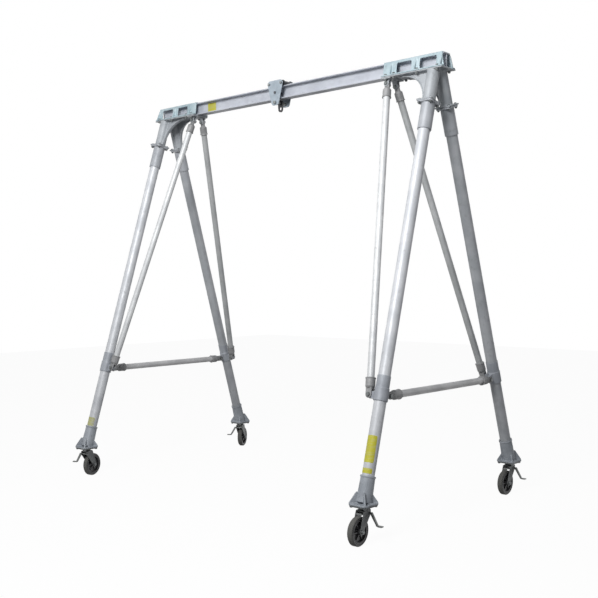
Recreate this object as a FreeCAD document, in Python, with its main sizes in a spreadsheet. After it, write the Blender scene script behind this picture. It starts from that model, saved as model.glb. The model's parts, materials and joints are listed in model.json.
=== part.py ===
"""Portable gantry crane: an aluminium I-beam on two A-frames with braked swivel casters.

World frame: X along the beam, Y across it, Z up, origin on the floor under the middle of the beam.
Each tilted leg lies in a "leg plane" that also holds the X direction, its brace and the brace's pins.
"""
import FreeCAD, Part
import math
import os
import Sketcher

doc = FreeCAD.newDocument("PortableGantry")

# ---------------------------------------------------------------- driving dimensions, millimetres
SIZES = (
    # beam
    ("beam_length", 3000), ("beam_height", 100), ("beam_width", 75), ("beam_flange", 8),
    ("beam_web", 6), ("beam_root", 6), ("beam_bottom", 3040),
    # where the leg axes stand and end
    ("foot_span", 1465), ("foot_reach", 879), ("head_span", 1426), ("head_reach", 110),
    ("head_plane", 2800),
    # clearances
    ("seat_gap", 0.3), ("turning_gap", 0.08), ("side_gap", 0.5), ("bolt_gap", 0.4),
    # leg tube and its flanged sleeve
    ("leg_radius", 40), ("leg_wall", 5), ("leg_start", 24), ("leg_short", 44),
    ("sleeve_radius", 47.5), ("sleeve_length", 197), ("joint_flange", 12),
    ("joint_square", 122), ("joint_corner", 26), ("joint_scallop", 110), ("joint_waist", 57),
    ("joint_bolts", 62), ("joint_bolt_radius", 5),
    # foot casting
    ("foot_flange", 12), ("foot_square", 146), ("foot_corner", 28), ("foot_scallop", 160),
    ("foot_waist", 67), ("foot_height", 178), ("foot_base_radius", 50), ("foot_top_radius", 45.5),
    ("foot_bead", 49), ("foot_bead_height", 12), ("gusset_reach", 90), ("gusset_height", 70),
    ("gusset_thickness", 10), ("foot_bolts", 76), ("foot_bolt_radius", 5),
    ("foot_bolt_depth", 10),
    # collar on the leg
    ("collar_along", 684), ("collar_radius", 47), ("collar_height", 84), ("neck_radius", 43.5),
    ("neck_height", 80), ("lug_thickness", 18), ("lug_radius", 20), ("brace_lug_out", 90),
    ("brace_lug_drop", 7), ("cross_pin_in", 75), ("cross_pin_drop", 15),
    # brace and cross tube ends
    ("rod_radius", 24.3), ("rod_wall", 3.2), ("cheek", 8), ("cheek_radius", 23),
    ("slot_depth", 32), ("fork_neck", 52), ("fork_length", 110), ("fork_radius", 32),
    ("rod_start", 60), ("rod_bead", 2.5), ("rod_bead_height", 7), ("eye_radius", 19),
    ("eye_thickness", 16), ("eye_neck", 46),
    ("eye_length", 108), ("eye_socket_radius", 30), ("pin_radius", 8),
    ("top_pin_in", 30), ("top_pin_drop", 50),
    # leg head casting
    ("head_inner", 1005), ("head_outer", 1516), ("head_width", 170), ("base_plate", 10),
    ("stub_radius", 44), ("stub_bore", 36), ("stub_bore_depth", 190), ("web_thickness", 10),
    ("web_side", 52), ("web_foot", 20), ("web_curve", 205), ("web_reach", 330), ("web_rim", 8),
    ("web_rim_width", 26),
    # beam cap casting, its ribs, windows and bolts measured from the inner end of the head
    ("cap_outer", 1512), ("cap_height", 107), ("cap_top_half", 46), ("cap_bottom_half", 60),
    ("cap_wall", 7), ("cap_lip", 10), ("cap_round", 8), ("cap_rib", 10), ("cap_slant", 20),
    ("rib_inner", 65), ("rib_middle", 274), ("rib_outer", 485), ("window_low", 16),
    ("window_high", 85), ("window_inner_start", 115), ("window_inner_end", 238),
    ("window_outer_start", 310), ("window_outer_end", 445), ("window_corner", 8),
    ("lip_bolt_radius", 6), ("lip_bolt_side", 74), ("lip_bolt_inner", 35),
    ("lip_bolt_second", 105), ("lip_bolt_third", 299), ("lip_bolt_outer", 465),
    # brace bracket under the head
    ("bracket_plate", 6), ("bracket_start", 5), ("bracket_length", 74), ("bracket_width", 164),
    ("ear_cheek", 6), ("ear_radius", 20),
    # trolley
    ("trolley_x", -50), ("side_plate", 7), ("side_plate_half", 57), ("side_plate_top", 3182),
    ("side_plate_bottom", 2988), ("plate_top_half", 88), ("plate_bottom_half", 34),
    ("plate_top_round", 26), ("plate_bottom_round", 24), ("roller_spacing", 64),
    ("roller_radius", 17), ("roller_rim", 23), ("roller_rim_width", 6), ("roller_axle", 6),
    ("load_pin_height", 3010), ("guide_drop", 94), ("guide_radius", 16), ("guide_stud", 6),
    ("eye_half", 26), ("eye_plate", 12), ("eye_drop", 68), ("eye_tip_half", 21),
    ("hook_hole", 13), ("hook_drop", 42), ("spacer_radius", 13),
    # casters
    ("caster_height", 240), ("wheel_radius", 90), ("wheel_width", 42), ("caster_trail", 62),
    ("turn_right_front", -86), ("turn_right_rear", -88), ("turn_left_front", 105),
    ("turn_left_rear", 118),
    ("top_plate", 8), ("top_plate_square", 132), ("top_plate_corner", 14), ("race_radius", 34),
    ("race_height", 6), ("kingpin_radius", 10), ("kingpin_nut", 14), ("kingpin_nut_height", 9),
    ("crown_top", 214), ("crown_under", 206), ("fork_plate", 6), ("fork_inside", 26),
    ("tyre_inner", 73), ("rim_width", 36), ("hub_radius", 20), ("core_web", 8), ("axle_radius", 7),
    ("brake_shaft_x", 24), ("brake_shaft_z", 190), ("brake_shaft", 5), ("brake_width", 42),
    ("brake_sheet", 5), ("brake_reach", 74), ("shoe_height", 6), ("lever_width", 12),
    ("lever_sheet", 8), ("lever_start", 48), ("lever_bend", 86), ("lever_tip", 122),
    ("lever_drop", 72), ("tab_width", 26),
)

sheet = doc.addObject("Spreadsheet::Sheet", "Sizes")
for row, (alias, number) in enumerate(SIZES, start=1):
    sheet.set(f"A{row}", alias)
    sheet.set(f"B{row}", str(number))
    sheet.setAlias(f"B{row}", alias)
doc.recompute()


class Dim:
    """A length with its present value and the sheet expression that it stands for."""

    def __init__(self, value, text):
        self.value = float(value)
        self.text = text

    def __add__(self, other):
        other = as_dim(other)
        return Dim(self.value + other.value, f"({self.text} + {other.text})")

    def __sub__(self, other):
        other = as_dim(other)
        return Dim(self.value - other.value, f"({self.text} - {other.text})")

    def __mul__(self, other):
        other = as_dim(other)
        return Dim(self.value * other.value, f"({self.text} * {other.text})")

    def __truediv__(self, other):
        other = as_dim(other)
        return Dim(self.value / other.value, f"({self.text} / {other.text})")

    def __neg__(self):
        return Dim(-self.value, f"(-1 * {self.text})")

    __radd__ = __add__
    __rmul__ = __mul__

    def __rsub__(self, other):
        return as_dim(other) - self

    def root(self):
        return Dim(math.sqrt(self.value), f"sqrt({self.text})")


def as_dim(number):
    return number if isinstance(number, Dim) else Dim(number, repr(float(number)))


def size(alias):
    return Dim(getattr(sheet, alias), f"Sizes.{alias}")


def from_head(alias):
    """A place along the beam that is measured from the inner end of the head casting."""
    return size("head_inner") + size(alias)


def vector(*parts):
    return FreeCAD.Vector(*(as_dim(part).value for part in parts))


# ---------------------------------------------------------------- body and sketch helpers
FLAT = FreeCAD.Rotation()


def new_body(label):
    body = doc.addObject("PartDesign::Body", label)
    body.Label = label
    return body


def new_sketch(body, plane="XY_Plane", lift=None, place=None):
    """A sketch on an origin plane of its body, lifted along the normal or set on its own place."""
    sketch = body.newObject("Sketcher::SketchObject", body.Label + "_sketch")
    support = next(item for item in body.Origin.OriginFeatures if item.Role == plane)
    sketch.AttachmentSupport = [(support, "")]
    sketch.MapMode = "FlatFace"
    if place is not None:
        sketch.AttachmentOffset = place
    if lift is not None:
        sketch.setExpression("AttachmentOffset.Base.z", as_dim(lift).text)
    return sketch


def bind(sketch, kind, *where, value):
    value = as_dim(value)
    index = sketch.addConstraint(Sketcher.Constraint(kind, *where, value.value))
    sketch.setExpression(f"Constraints[{index}]", value.text)


def outline(sketch, points, arcs=None):
    """Closes a run of points; arcs maps an edge's number to (centre, +1 or -1 for its turn)."""
    arcs = arcs or {}
    first = sketch.GeometryCount
    count = len(points)
    for index, point in enumerate(points):
        start, end = vector(*point, 0), vector(*points[(index + 1) % count], 0)
        if index in arcs:
            centre, turn = arcs[index]
            middle = vector(*centre, 0)
            angles = [math.atan2(p.y - middle.y, p.x - middle.x) for p in (start, end)]
            if turn < 0:
                angles.reverse()
            radius = (start - middle).Length
            circle = Part.Circle(middle, FreeCAD.Vector(0, 0, 1), radius)
            sketch.addGeometry(Part.ArcOfCircle(circle, *angles))
        else:
            sketch.addGeometry(Part.LineSegment(start, end))
    backward = {index for index, (_, turn) in arcs.items() if turn < 0}
    for index, (x, y) in enumerate(points):
        after = (index + 1) % count
        here, there = first + index, first + after
        begin, tail = (2, 1) if index in backward else (1, 2)
        nose = 2 if after in backward else 1
        sketch.addConstraint(Sketcher.Constraint("Coincident", here, tail, there, nose))
        bind(sketch, "DistanceX", here, begin, value=x)
        bind(sketch, "DistanceY", here, begin, value=y)
        if index in arcs:
            # Both ends are set, so one coordinate of the centre fixes the arc.
            chord = vector(*points[after], 0) - vector(x, y, 0)
            centre = arcs[index][0]
            if abs(chord.x) > abs(chord.y):
                bind(sketch, "DistanceY", here, 3, value=centre[1])
            else:
                bind(sketch, "DistanceX", here, 3, value=centre[0])


def box_outline(sketch, low_x, low_y, high_x, high_y):
    outline(sketch, ((low_x, low_y), (high_x, low_y), (high_x, high_y), (low_x, high_y)))


def circle(sketch, x, y, radius):
    shape = Part.Circle(vector(x, y, 0), FreeCAD.Vector(0, 0, 1), as_dim(radius).value)
    index = sketch.addGeometry(shape)
    bind(sketch, "DistanceX", index, 3, value=x)
    bind(sketch, "DistanceY", index, 3, value=y)
    bind(sketch, "Radius", index, value=radius)


def corner_circles(sketch, reach, radius):
    """Four equal circles on the diagonals, at a given distance from the middle."""
    side = reach / math.sqrt(2)
    for x, y in ((1, 1), (-1, 1), (-1, -1), (1, -1)):
        circle(sketch, side * x, side * y, radius)


def solid_feature(body, kind, sketch, length=None, both_ways=False, reverse=False):
    feature = body.newObject(kind, body.Label + "_step")
    feature.Profile = sketch
    if both_ways:
        feature.SideType = "Symmetric"
    if length is None:
        feature.Type = "ThroughAll"
    else:
        feature.setExpression("Length", as_dim(length).text)
    feature.Reversed = reverse
    return feature


def pad(body, sketch, length, both_ways=False, reverse=False):
    return solid_feature(body, "PartDesign::Pad", sketch, length, both_ways, reverse)


def cut(body, sketch, length=None, both_ways=False, reverse=False):
    return solid_feature(body, "PartDesign::Pocket", sketch, length, both_ways, reverse)


def turn(body, sketch, kind="PartDesign::Revolution"):
    """A full turn of the sketch about its own upright axis."""
    feature = body.newObject(kind, body.Label + "_turn")
    feature.Profile = sketch
    feature.ReferenceAxis = (sketch, ["V_Axis"])
    feature.Angle = 360
    return feature


def polar(body, feature, count):
    """Copies of one feature round the body's Z axis."""
    pattern = body.newObject("PartDesign::PolarPattern", body.Label + "_round")
    axis = next(item for item in body.Origin.OriginFeatures if item.Role == "Z_Axis")
    pattern.Originals = [feature]
    pattern.Axis = (axis, [""])
    pattern.Angle = 360
    pattern.Occurrences = count
    body.Tip = pattern
    return pattern


def fillet(body, radius, wanted):
    """Rounds the straight edges of the body's tip whose two ends wanted() accepts."""
    doc.recompute()
    base = body.Tip
    names = []
    for number, edge in enumerate(base.Shape.Edges, start=1):
        ends = [vertex.Point for vertex in edge.Vertexes]
        if len(ends) == 2 and isinstance(edge.Curve, Part.Line) and wanted(*ends):
            names.append(f"Edge{number}")
    feature = body.newObject("PartDesign::Fillet", body.Label + "_round_edge")
    feature.Base = (base, names)
    feature.setExpression("Radius", as_dim(radius).text)
    return feature


def along(axis):
    """Accepts edges that run along one axis of the body."""
    def test(start, end):
        step = end - start
        return abs(abs(getattr(step, axis)) - step.Length) < 1e-6
    return test


def plate_corner(square):
    """Accepts the four upright edges at the corners of a square plate."""
    half = square.value / 2
    def test(start, end):
        at_corner = abs(abs(start.x) - half) < 1e-6 and abs(abs(start.y) - half) < 1e-6
        return at_corner and along("z")(start, end)
    return test


nodes = []


def linked(master, place):
    """Another copy of a master body, in its own place."""
    link = doc.addObject("App::Link", master.Label + "_copy")
    link.LinkedObject = master
    link.Placement = place
    return link


def group(label, members):
    """One node made of several separate solids."""
    compound = doc.addObject("Part::Compound", label)
    compound.Label = label
    compound.Links = members
    nodes.append(compound)
    return compound


def copies(label, master, places):
    return group(label, [linked(master, place) for place in places])


def node(body, place=None):
    """Marks a finished body as a sub-part and sets it in its place."""
    if place is not None:
        body.Placement = place
    nodes.append(body)
    return body


# ---------------------------------------------------------------- the leg's lines and planes
# Slope and run of a leg, from the floor side (top of its caster) to the joint under the beam.
leg_rise = size("head_plane") - size("caster_height")
leg_inset = size("foot_reach") - size("head_reach")
leg_shift = size("foot_span") - size("head_span")
leg_length = (leg_rise * leg_rise + leg_inset * leg_inset + leg_shift * leg_shift).root()
plane_rise = (leg_rise * leg_rise + leg_inset * leg_inset).root()
lean_cos = leg_rise / plane_rise
lean_sin = leg_inset / plane_rise

CORNERS = (("right_front", 1, -1), ("right_rear", 1, 1), ("left_front", -1, -1), ("left_rear", -1, 1))
SIDES = (("right", 1), ("left", -1))


def outward(side_x, side_y):
    """+1 where local Y of a corner's frames points away from the beam, -1 where it points to it."""
    return -side_x * side_y


def framed(origin, x_axis, z_axis):
    """Placement with given local X and Z directions."""
    y_axis = z_axis.cross(x_axis)
    return FreeCAD.Placement(origin, FreeCAD.Rotation(x_axis, y_axis, z_axis, "ZXY"))


def leg_direction(side_x, side_y):
    return vector(leg_shift * -side_x, leg_inset * -side_y, leg_rise).normalize()


def leg_point(side_x, side_y, distance):
    foot = vector(size("foot_span") * side_x, size("foot_reach") * side_y, size("caster_height"))
    return foot + leg_direction(side_x, side_y) * as_dim(distance).value


def leg_frame(side_x, side_y, distance=0):
    """Z up the leg, X inboard in the leg plane."""
    axis = leg_direction(side_x, side_y)
    inboard = FreeCAD.Vector(-side_x, 0, 0)
    inboard = (inboard - axis * inboard.dot(axis)).normalize()
    return framed(leg_point(side_x, side_y, distance), inboard, axis)


def plane_up(side_y):
    return vector(0, lean_sin * -side_y, lean_cos)


def plane_frame(origin, side_x, side_y):
    """X straight inboard, Z up the leg plane, Y square to the plane."""
    return framed(origin, FreeCAD.Vector(-side_x, 0, 0), plane_up(side_y))


def plane_point(side_x, side_y, span, height):
    """The point of a corner's leg plane at a given distance from the middle and height."""
    share = (size("head_plane") - height) / leg_rise
    reach = size("head_reach") + leg_inset * share
    return vector(as_dim(span) * side_x, reach * side_y, height)


# ---------------------------------------------------------------- fasteners
def hexagon(sketch, across):
    """A hexagon with two flats square to Y."""
    half = across / 2
    tip = across / math.sqrt(3)
    outline(sketch, ((tip, 0), (tip / 2, half), (-tip / 2, half), (-tip, 0), (-tip / 2, -half),
                     (tip / 2, -half)))


def bolt(label, radius, grip, nut_on=True):
    """A hexagon bolt, head above Z = 0 and grip below, with its nut done up or in a tapped hole."""
    body = new_body(label)
    across = radius * 3.1
    nut = radius * 1.6
    sketch = new_sketch(body)
    hexagon(sketch, across)
    pad(body, sketch, radius * 1.3)
    sketch = new_sketch(body)
    circle(sketch, 0, 0, radius)
    pad(body, sketch, grip + nut + radius * 0.5 if nut_on else grip, reverse=True)
    if nut_on:
        sketch = new_sketch(body, lift=-grip)
        hexagon(sketch, across)
        pad(body, sketch, nut, reverse=True)
    return body


def joint_outline(sketch, square, waist, scallop):
    """A square plate whose four sides are pinched by shallow arcs."""
    half = square / 2
    corners = ((half, half), (-half, half), (-half, -half), (half, -half))
    points, arcs = [], {}
    chord = half - waist
    spread = (scallop * scallop - (scallop - chord) * (scallop - chord)).root()
    for number, (x, y) in enumerate(corners):
        side = ((0, 1), (-1, 0), (0, -1), (1, 0))[number]
        step = ((-1, 0), (0, -1), (1, 0), (0, 1))[number]
        middle = tuple(half * part for part in side)
        start = tuple(middle[axis] - spread * step[axis] for axis in (0, 1))
        end = tuple(middle[axis] + spread * step[axis] for axis in (0, 1))
        centre = tuple((waist + scallop) * part for part in side)
        points += [(x, y), start, end]
        arcs[3 * number + 1] = (centre, -1)
    outline(sketch, points, arcs)


# ---------------------------------------------------------------- beam
beam_top = size("beam_bottom") + size("beam_height")
body = new_body("beam")
sketch = new_sketch(body, "YZ_Plane", lift=size("beam_length") / -2)
half_width, half_web = size("beam_width") / 2, size("beam_web") / 2
low, high = size("beam_bottom"), beam_top
flange_top, flange_under = low + size("beam_flange"), high - size("beam_flange")
outline(sketch, ((-half_width, low), (half_width, low), (half_width, flange_top),
                 (half_web, flange_top), (half_web, flange_under), (half_width, flange_under),
                 (half_width, high), (-half_width, high), (-half_width, flange_under),
                 (-half_web, flange_under), (-half_web, flange_top), (-half_width, flange_top)))
pad(body, sketch, size("beam_length"))


def at_root(start, end):
    return along("x")(start, end) and abs(abs(start.y) - half_web.value) < 1e-6


fillet(body, size("beam_root"), at_root)
node(body)

# ---------------------------------------------------------------- legs
sleeve_foot = leg_length - size("sleeve_length")
for corner, side_x, side_y in CORNERS:
    frame = leg_frame(side_x, side_y)

    body = new_body(f"leg_tube_{corner}")
    sketch = new_sketch(body, lift=size("leg_start"))
    circle(sketch, 0, 0, size("leg_radius"))
    circle(sketch, 0, 0, size("leg_radius") - size("leg_wall"))
    pad(body, sketch, leg_length - size("leg_short") - size("leg_start"))
    node(body, frame)

    # Flanged sleeve that caps the leg and bolts to the head casting.
    body = new_body(f"leg_sleeve_{corner}")
    sketch = new_sketch(body, lift=leg_length - size("joint_flange"))
    joint_outline(sketch, size("joint_square"), size("joint_waist"), size("joint_scallop"))
    pad(body, sketch, size("joint_flange"))
    fillet(body, size("joint_corner"), plate_corner(size("joint_square")))
    sketch = new_sketch(body, lift=sleeve_foot)
    circle(sketch, 0, 0, size("sleeve_radius"))
    pad(body, sketch, size("sleeve_length") - size("joint_flange") / 2)
    sketch = new_sketch(body, lift=sleeve_foot)
    circle(sketch, 0, 0, size("leg_radius") + size("seat_gap"))
    cut(body, sketch, size("sleeve_length") - size("leg_short") + size("side_gap"), reverse=True)
    sketch = new_sketch(body, lift=leg_length - size("joint_flange"))
    corner_circles(sketch, size("joint_bolts"), size("joint_bolt_radius") + size("bolt_gap"))
    cut(body, sketch, size("joint_flange"), reverse=True)
    node(body, frame)

# ---------------------------------------------------------------- foot castings
for corner, side_x, side_y in CORNERS:
    origin = leg_point(side_x, side_y, 0)
    upright = framed(origin, FreeCAD.Vector(-side_x, 0, 0), FreeCAD.Vector(0, 0, 1))
    tilt = upright.inverse().multiply(leg_frame(side_x, side_y))
    socket_plane = tilt.multiply(FreeCAD.Placement(FreeCAD.Vector(),
                                                   FreeCAD.Rotation(FreeCAD.Vector(1, 0, 0), 90)))
    body = new_body(f"foot_socket_{corner}")
    sketch = new_sketch(body)
    joint_outline(sketch, size("foot_square"), size("foot_waist"), size("foot_scallop"))
    pad(body, sketch, size("foot_flange"))
    fillet(body, size("foot_corner"), plate_corner(size("foot_square")))
    # Gussets on the two diagonals, from the socket out to the flange's corners.
    for angle in (45, 135):
        upright_plane = FreeCAD.Rotation(FreeCAD.Vector(0, 0, 1), angle).multiply(
            FreeCAD.Rotation(FreeCAD.Vector(1, 0, 0), 90))
        sketch = new_sketch(body, place=FreeCAD.Placement(FreeCAD.Vector(), upright_plane))
        reach, foot = size("gusset_reach"), size("foot_flange") / 2
        rise = size("foot_flange") + size("gusset_height")
        shoulder = size("foot_top_radius")
        ledge = size("foot_flange") * 1.4
        outline(sketch, ((-reach, foot), (reach, foot), (reach, ledge), (shoulder, rise),
                         (-shoulder, rise), (-reach, ledge)))
        pad(body, sketch, size("gusset_thickness"), both_ways=True)
    # Tapered socket round the leg's axis, with a beaded rim.
    sketch = new_sketch(body, place=socket_plane)
    foot, top = size("foot_flange"), size("foot_height")
    rim = top - size("foot_bead_height")
    outline(sketch, ((0, foot), (size("foot_base_radius"), foot), (size("foot_top_radius"), rim),
                     (size("foot_bead"), rim), (size("foot_bead"), top), (0, top)))
    turn(body, sketch)
    sketch = new_sketch(body, place=socket_plane)
    outline(sketch, ((0, size("leg_start") - size("side_gap")),
                     (size("leg_radius") + size("seat_gap"), size("leg_start") - size("side_gap")),
                     (size("leg_radius") + size("seat_gap"), top + foot), (0, top + foot)))
    turn(body, sketch, "PartDesign::Groove")
    sketch = new_sketch(body)
    corner_circles(sketch, size("foot_bolts"), size("foot_bolt_radius") + size("bolt_gap"))
    cut(body, sketch, size("foot_bolt_depth") + size("side_gap"), reverse=True)
    # The tilted socket is machined off flush with the underside of the flange.
    sketch = new_sketch(body)
    half = size("foot_square") / 2
    box_outline(sketch, -half, -half, half, half)
    cut(body, sketch, size("foot_flange"))
    node(body, upright)

# ---------------------------------------------------------------- collars on the legs
brace_low, cross_pins, collars = {}, {}, []
for corner, side_x, side_y in CORNERS:
    away = outward(side_x, side_y)
    centre = leg_point(side_x, side_y, size("collar_along"))
    frame = plane_frame(centre, side_x, side_y)
    band_axis = frame.inverse().multiply(leg_frame(side_x, side_y, size("collar_along")))
    lug_y = (size("cross_pin_in") * lean_cos + size("cross_pin_drop") * lean_sin) * -away
    lug_z = size("cross_pin_in") * lean_sin - size("cross_pin_drop") * lean_cos
    half_band = size("collar_height") / 2

    body = new_body(f"leg_collar_{corner}")
    sketch = new_sketch(body, place=band_axis)
    circle(sketch, 0, 0, size("collar_radius"))
    pad(body, sketch, size("collar_height"), both_ways=True)
    sketch = new_sketch(body, place=band_axis)
    circle(sketch, 0, 0, size("neck_radius"))
    pad(body, sketch, half_band + size("neck_height"))
    # Lug for the brace, in the leg plane.
    sketch = new_sketch(body, "XZ_Plane")
    pin_x, pin_z = size("brace_lug_out"), -size("brace_lug_drop")
    tip, root = size("lug_radius"), size("collar_radius") - size("leg_wall")
    outline(sketch, ((root, pin_z - tip * 1.4), (pin_x, pin_z - tip), (pin_x, pin_z + tip),
                     (root, pin_z + tip * 1.4)), {1: ((pin_x, pin_z), 1)})
    pad(body, sketch, size("lug_thickness"), both_ways=True)
    # Lug for the cross tube, square to X.
    sketch = new_sketch(body, "YZ_Plane")
    side = -away
    outline(sketch, ((root * side, lug_z - tip * 1.4), (lug_y, lug_z - tip), (lug_y, lug_z + tip),
                     (root * side, lug_z + tip * 1.4)), {1: ((lug_y, lug_z), side)})
    pad(body, sketch, size("lug_thickness"), both_ways=True)
    sketch = new_sketch(body, place=band_axis)
    circle(sketch, 0, 0, size("leg_radius") + size("seat_gap"))
    cut(body, sketch, size("collar_height") + size("neck_height") * 2, both_ways=True)
    sketch = new_sketch(body, "XZ_Plane")
    circle(sketch, pin_x, pin_z, size("pin_radius") + size("bolt_gap"))
    cut(body, sketch, size("collar_radius"), both_ways=True)
    sketch = new_sketch(body, "YZ_Plane")
    circle(sketch, lug_y, lug_z, size("pin_radius") + size("bolt_gap"))
    cut(body, sketch, size("collar_radius"), both_ways=True)
    body.Placement = frame
    collars.append(body)
    brace_low[corner] = frame.multVec(vector(pin_x, 0, pin_z))
    cross_pins[corner] = frame.multVec(vector(0, lug_y, lug_z))
group("leg_collars_right", collars[:2])
group("leg_collars_left", collars[2:])

# ---------------------------------------------------------------- fork and eye castings
slot = size("lug_thickness") + size("side_gap") * 2
fork_width = slot + size("cheek") * 2
rod_bore = size("rod_radius") + size("seat_gap")


def rod_socket(body, start, neck_radius, neck, radius, length):
    """A round socket that flares from a neck, bored to take the tube."""
    sketch = new_sketch(body, "XZ_Plane")
    bead, foot = radius + size("rod_bead"), length - size("rod_bead_height")
    outline(sketch, ((0, start), (neck_radius, start), (radius, neck), (radius, foot), (bead, foot),
                     (bead, length), (0, length)))
    turn(body, sketch)
    bottom = size("rod_start") - size("side_gap")
    sketch = new_sketch(body, "XZ_Plane")
    outline(sketch, ((0, bottom), (rod_bore, bottom), (rod_bore, length + neck), (0, length + neck)))
    turn(body, sketch, "PartDesign::Groove")


# Fork end: pin along Y through the origin, tube along +Z.
fork_end = new_body("fork_end_master")
sketch = new_sketch(fork_end, "XZ_Plane")
reach = size("cheek_radius")
outline(sketch, ((-reach, 0), (reach, 0), (reach, size("fork_neck")), (-reach, size("fork_neck"))),
        {0: ((0, 0), 1)})
pad(fork_end, sketch, fork_width, both_ways=True)
rod_socket(fork_end, size("slot_depth") + size("cheek"), size("cheek_radius"), size("fork_neck"),
           size("fork_radius"), size("fork_length"))
sketch = new_sketch(fork_end, "XZ_Plane")
box_outline(sketch, reach * -2, reach * -2, reach * 2, size("slot_depth"))
cut(fork_end, sketch, slot, both_ways=True)
sketch = new_sketch(fork_end, "XZ_Plane")
circle(sketch, 0, 0, size("pin_radius") + size("bolt_gap"))
cut(fork_end, sketch, both_ways=True)

# Eye end: a flat tongue that flares into the socket.
eye_end = new_body("eye_end_master")
sketch = new_sketch(eye_end, "XZ_Plane")
reach = size("eye_radius")
outline(sketch, ((-reach, 0), (reach, 0), (reach, size("eye_neck")), (-reach, size("eye_neck"))),
        {0: ((0, 0), 1)})
pad(eye_end, sketch, size("eye_thickness"), both_ways=True)
rod_socket(eye_end, size("ear_radius") + size("cheek") / 2, size("eye_thickness") / 2,
           size("eye_neck"), size("eye_socket_radius"), size("eye_length"))
sketch = new_sketch(eye_end, "XZ_Plane")
circle(sketch, 0, 0, size("pin_radius") + size("bolt_gap"))
cut(eye_end, sketch, both_ways=True)

# ---------------------------------------------------------------- braces and cross tubes
fork_places, eye_places, pin_places, top_pin_places = [], [], [], []
top_pin_span = from_head("bracket_start") + size("top_pin_in")
top_pin_height = size("beam_bottom") - size("top_pin_drop")
bracket_slot = size("eye_thickness") + size("side_gap") * 2
bracket_fork = bracket_slot + size("ear_cheek") * 2
for corner, side_x, side_y in CORNERS:
    low_pin = brace_low[corner]
    high_pin = plane_point(side_x, side_y, top_pin_span, top_pin_height)
    axis = (high_pin - low_pin).normalize()
    square = plane_frame(low_pin, side_x, side_y).Rotation.multVec(FreeCAD.Vector(0, 1, 0))
    frame = framed(low_pin, square.cross(axis), axis)
    top_frame = framed(high_pin, square.cross(axis * -1), axis * -1)
    between = (high_pin - low_pin).Length

    body = new_body(f"brace_tube_{corner}")
    sketch = new_sketch(body, lift=size("rod_start"))
    circle(sketch, 0, 0, size("rod_radius"))
    circle(sketch, 0, 0, size("rod_radius") - size("rod_wall"))
    pad(body, sketch, between - size("rod_start") * 2)
    node(body, frame)

    fork_places.append(frame)
    eye_places.append(top_frame)
    pin_out = FreeCAD.Rotation(FreeCAD.Vector(1, 0, 0), -90 * outward(side_x, side_y))
    facing = plane_frame(low_pin, side_x, side_y).Rotation.multiply(pin_out)
    head_out = facing.multVec(FreeCAD.Vector(0, 0, 1))
    pin_places.append(FreeCAD.Placement(low_pin + head_out * (fork_width.value / 2), facing))
    top_pin_places.append(FreeCAD.Placement(high_pin + head_out * (bracket_fork.value / 2), facing))

for side, side_x in SIDES:
    front, rear = cross_pins[f"{side}_front"], cross_pins[f"{side}_rear"]
    middle = (front + rear) * 0.5
    body = new_body(f"cross_tube_{side}")
    sketch = new_sketch(body, "XZ_Plane")
    circle(sketch, 0, 0, size("rod_radius"))
    circle(sketch, 0, 0, size("rod_radius") - size("rod_wall"))
    pad(body, sketch, (rear - front).Length - size("rod_start") * 2, both_ways=True)
    node(body, FreeCAD.Placement(middle, FLAT))
    for pin, inward in ((front, 1), (rear, -1)):
        fork_places.append(framed(pin, FreeCAD.Vector(0, 0, 1), FreeCAD.Vector(0, inward, 0)))
        outboard = FreeCAD.Vector(side_x, 0, 0)
        pin_places.append(framed(pin + outboard * (fork_width.value / 2),
                                 FreeCAD.Vector(0, 0, 1), outboard))

copies("fork_ends", fork_end, fork_places)
copies("eye_ends", eye_end, eye_places)
fork_pin = bolt("fork_pin_master", size("pin_radius"), fork_width)
bracket_pin = bolt("bracket_pin_master", size("pin_radius"), bracket_fork)
group("rod_pins", [linked(fork_pin, place) for place in pin_places]
      + [linked(bracket_pin, place) for place in top_pin_places])

# ---------------------------------------------------------------- leg heads
base_top = size("beam_bottom")
base_under = base_top - size("base_plate")
half_head = size("head_width") / 2
LIP_BOLTS = ("lip_bolt_inner", "lip_bolt_second", "lip_bolt_third", "lip_bolt_outer")


def lip_holes(body, lift, depth):
    sketch = new_sketch(body, lift=lift)
    for name in LIP_BOLTS:
        for side_y in (-1, 1):
            circle(sketch, from_head(name), size("lip_bolt_side") * side_y,
                   size("lip_bolt_radius") + size("bolt_gap"))
    cut(body, sketch, depth)


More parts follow.
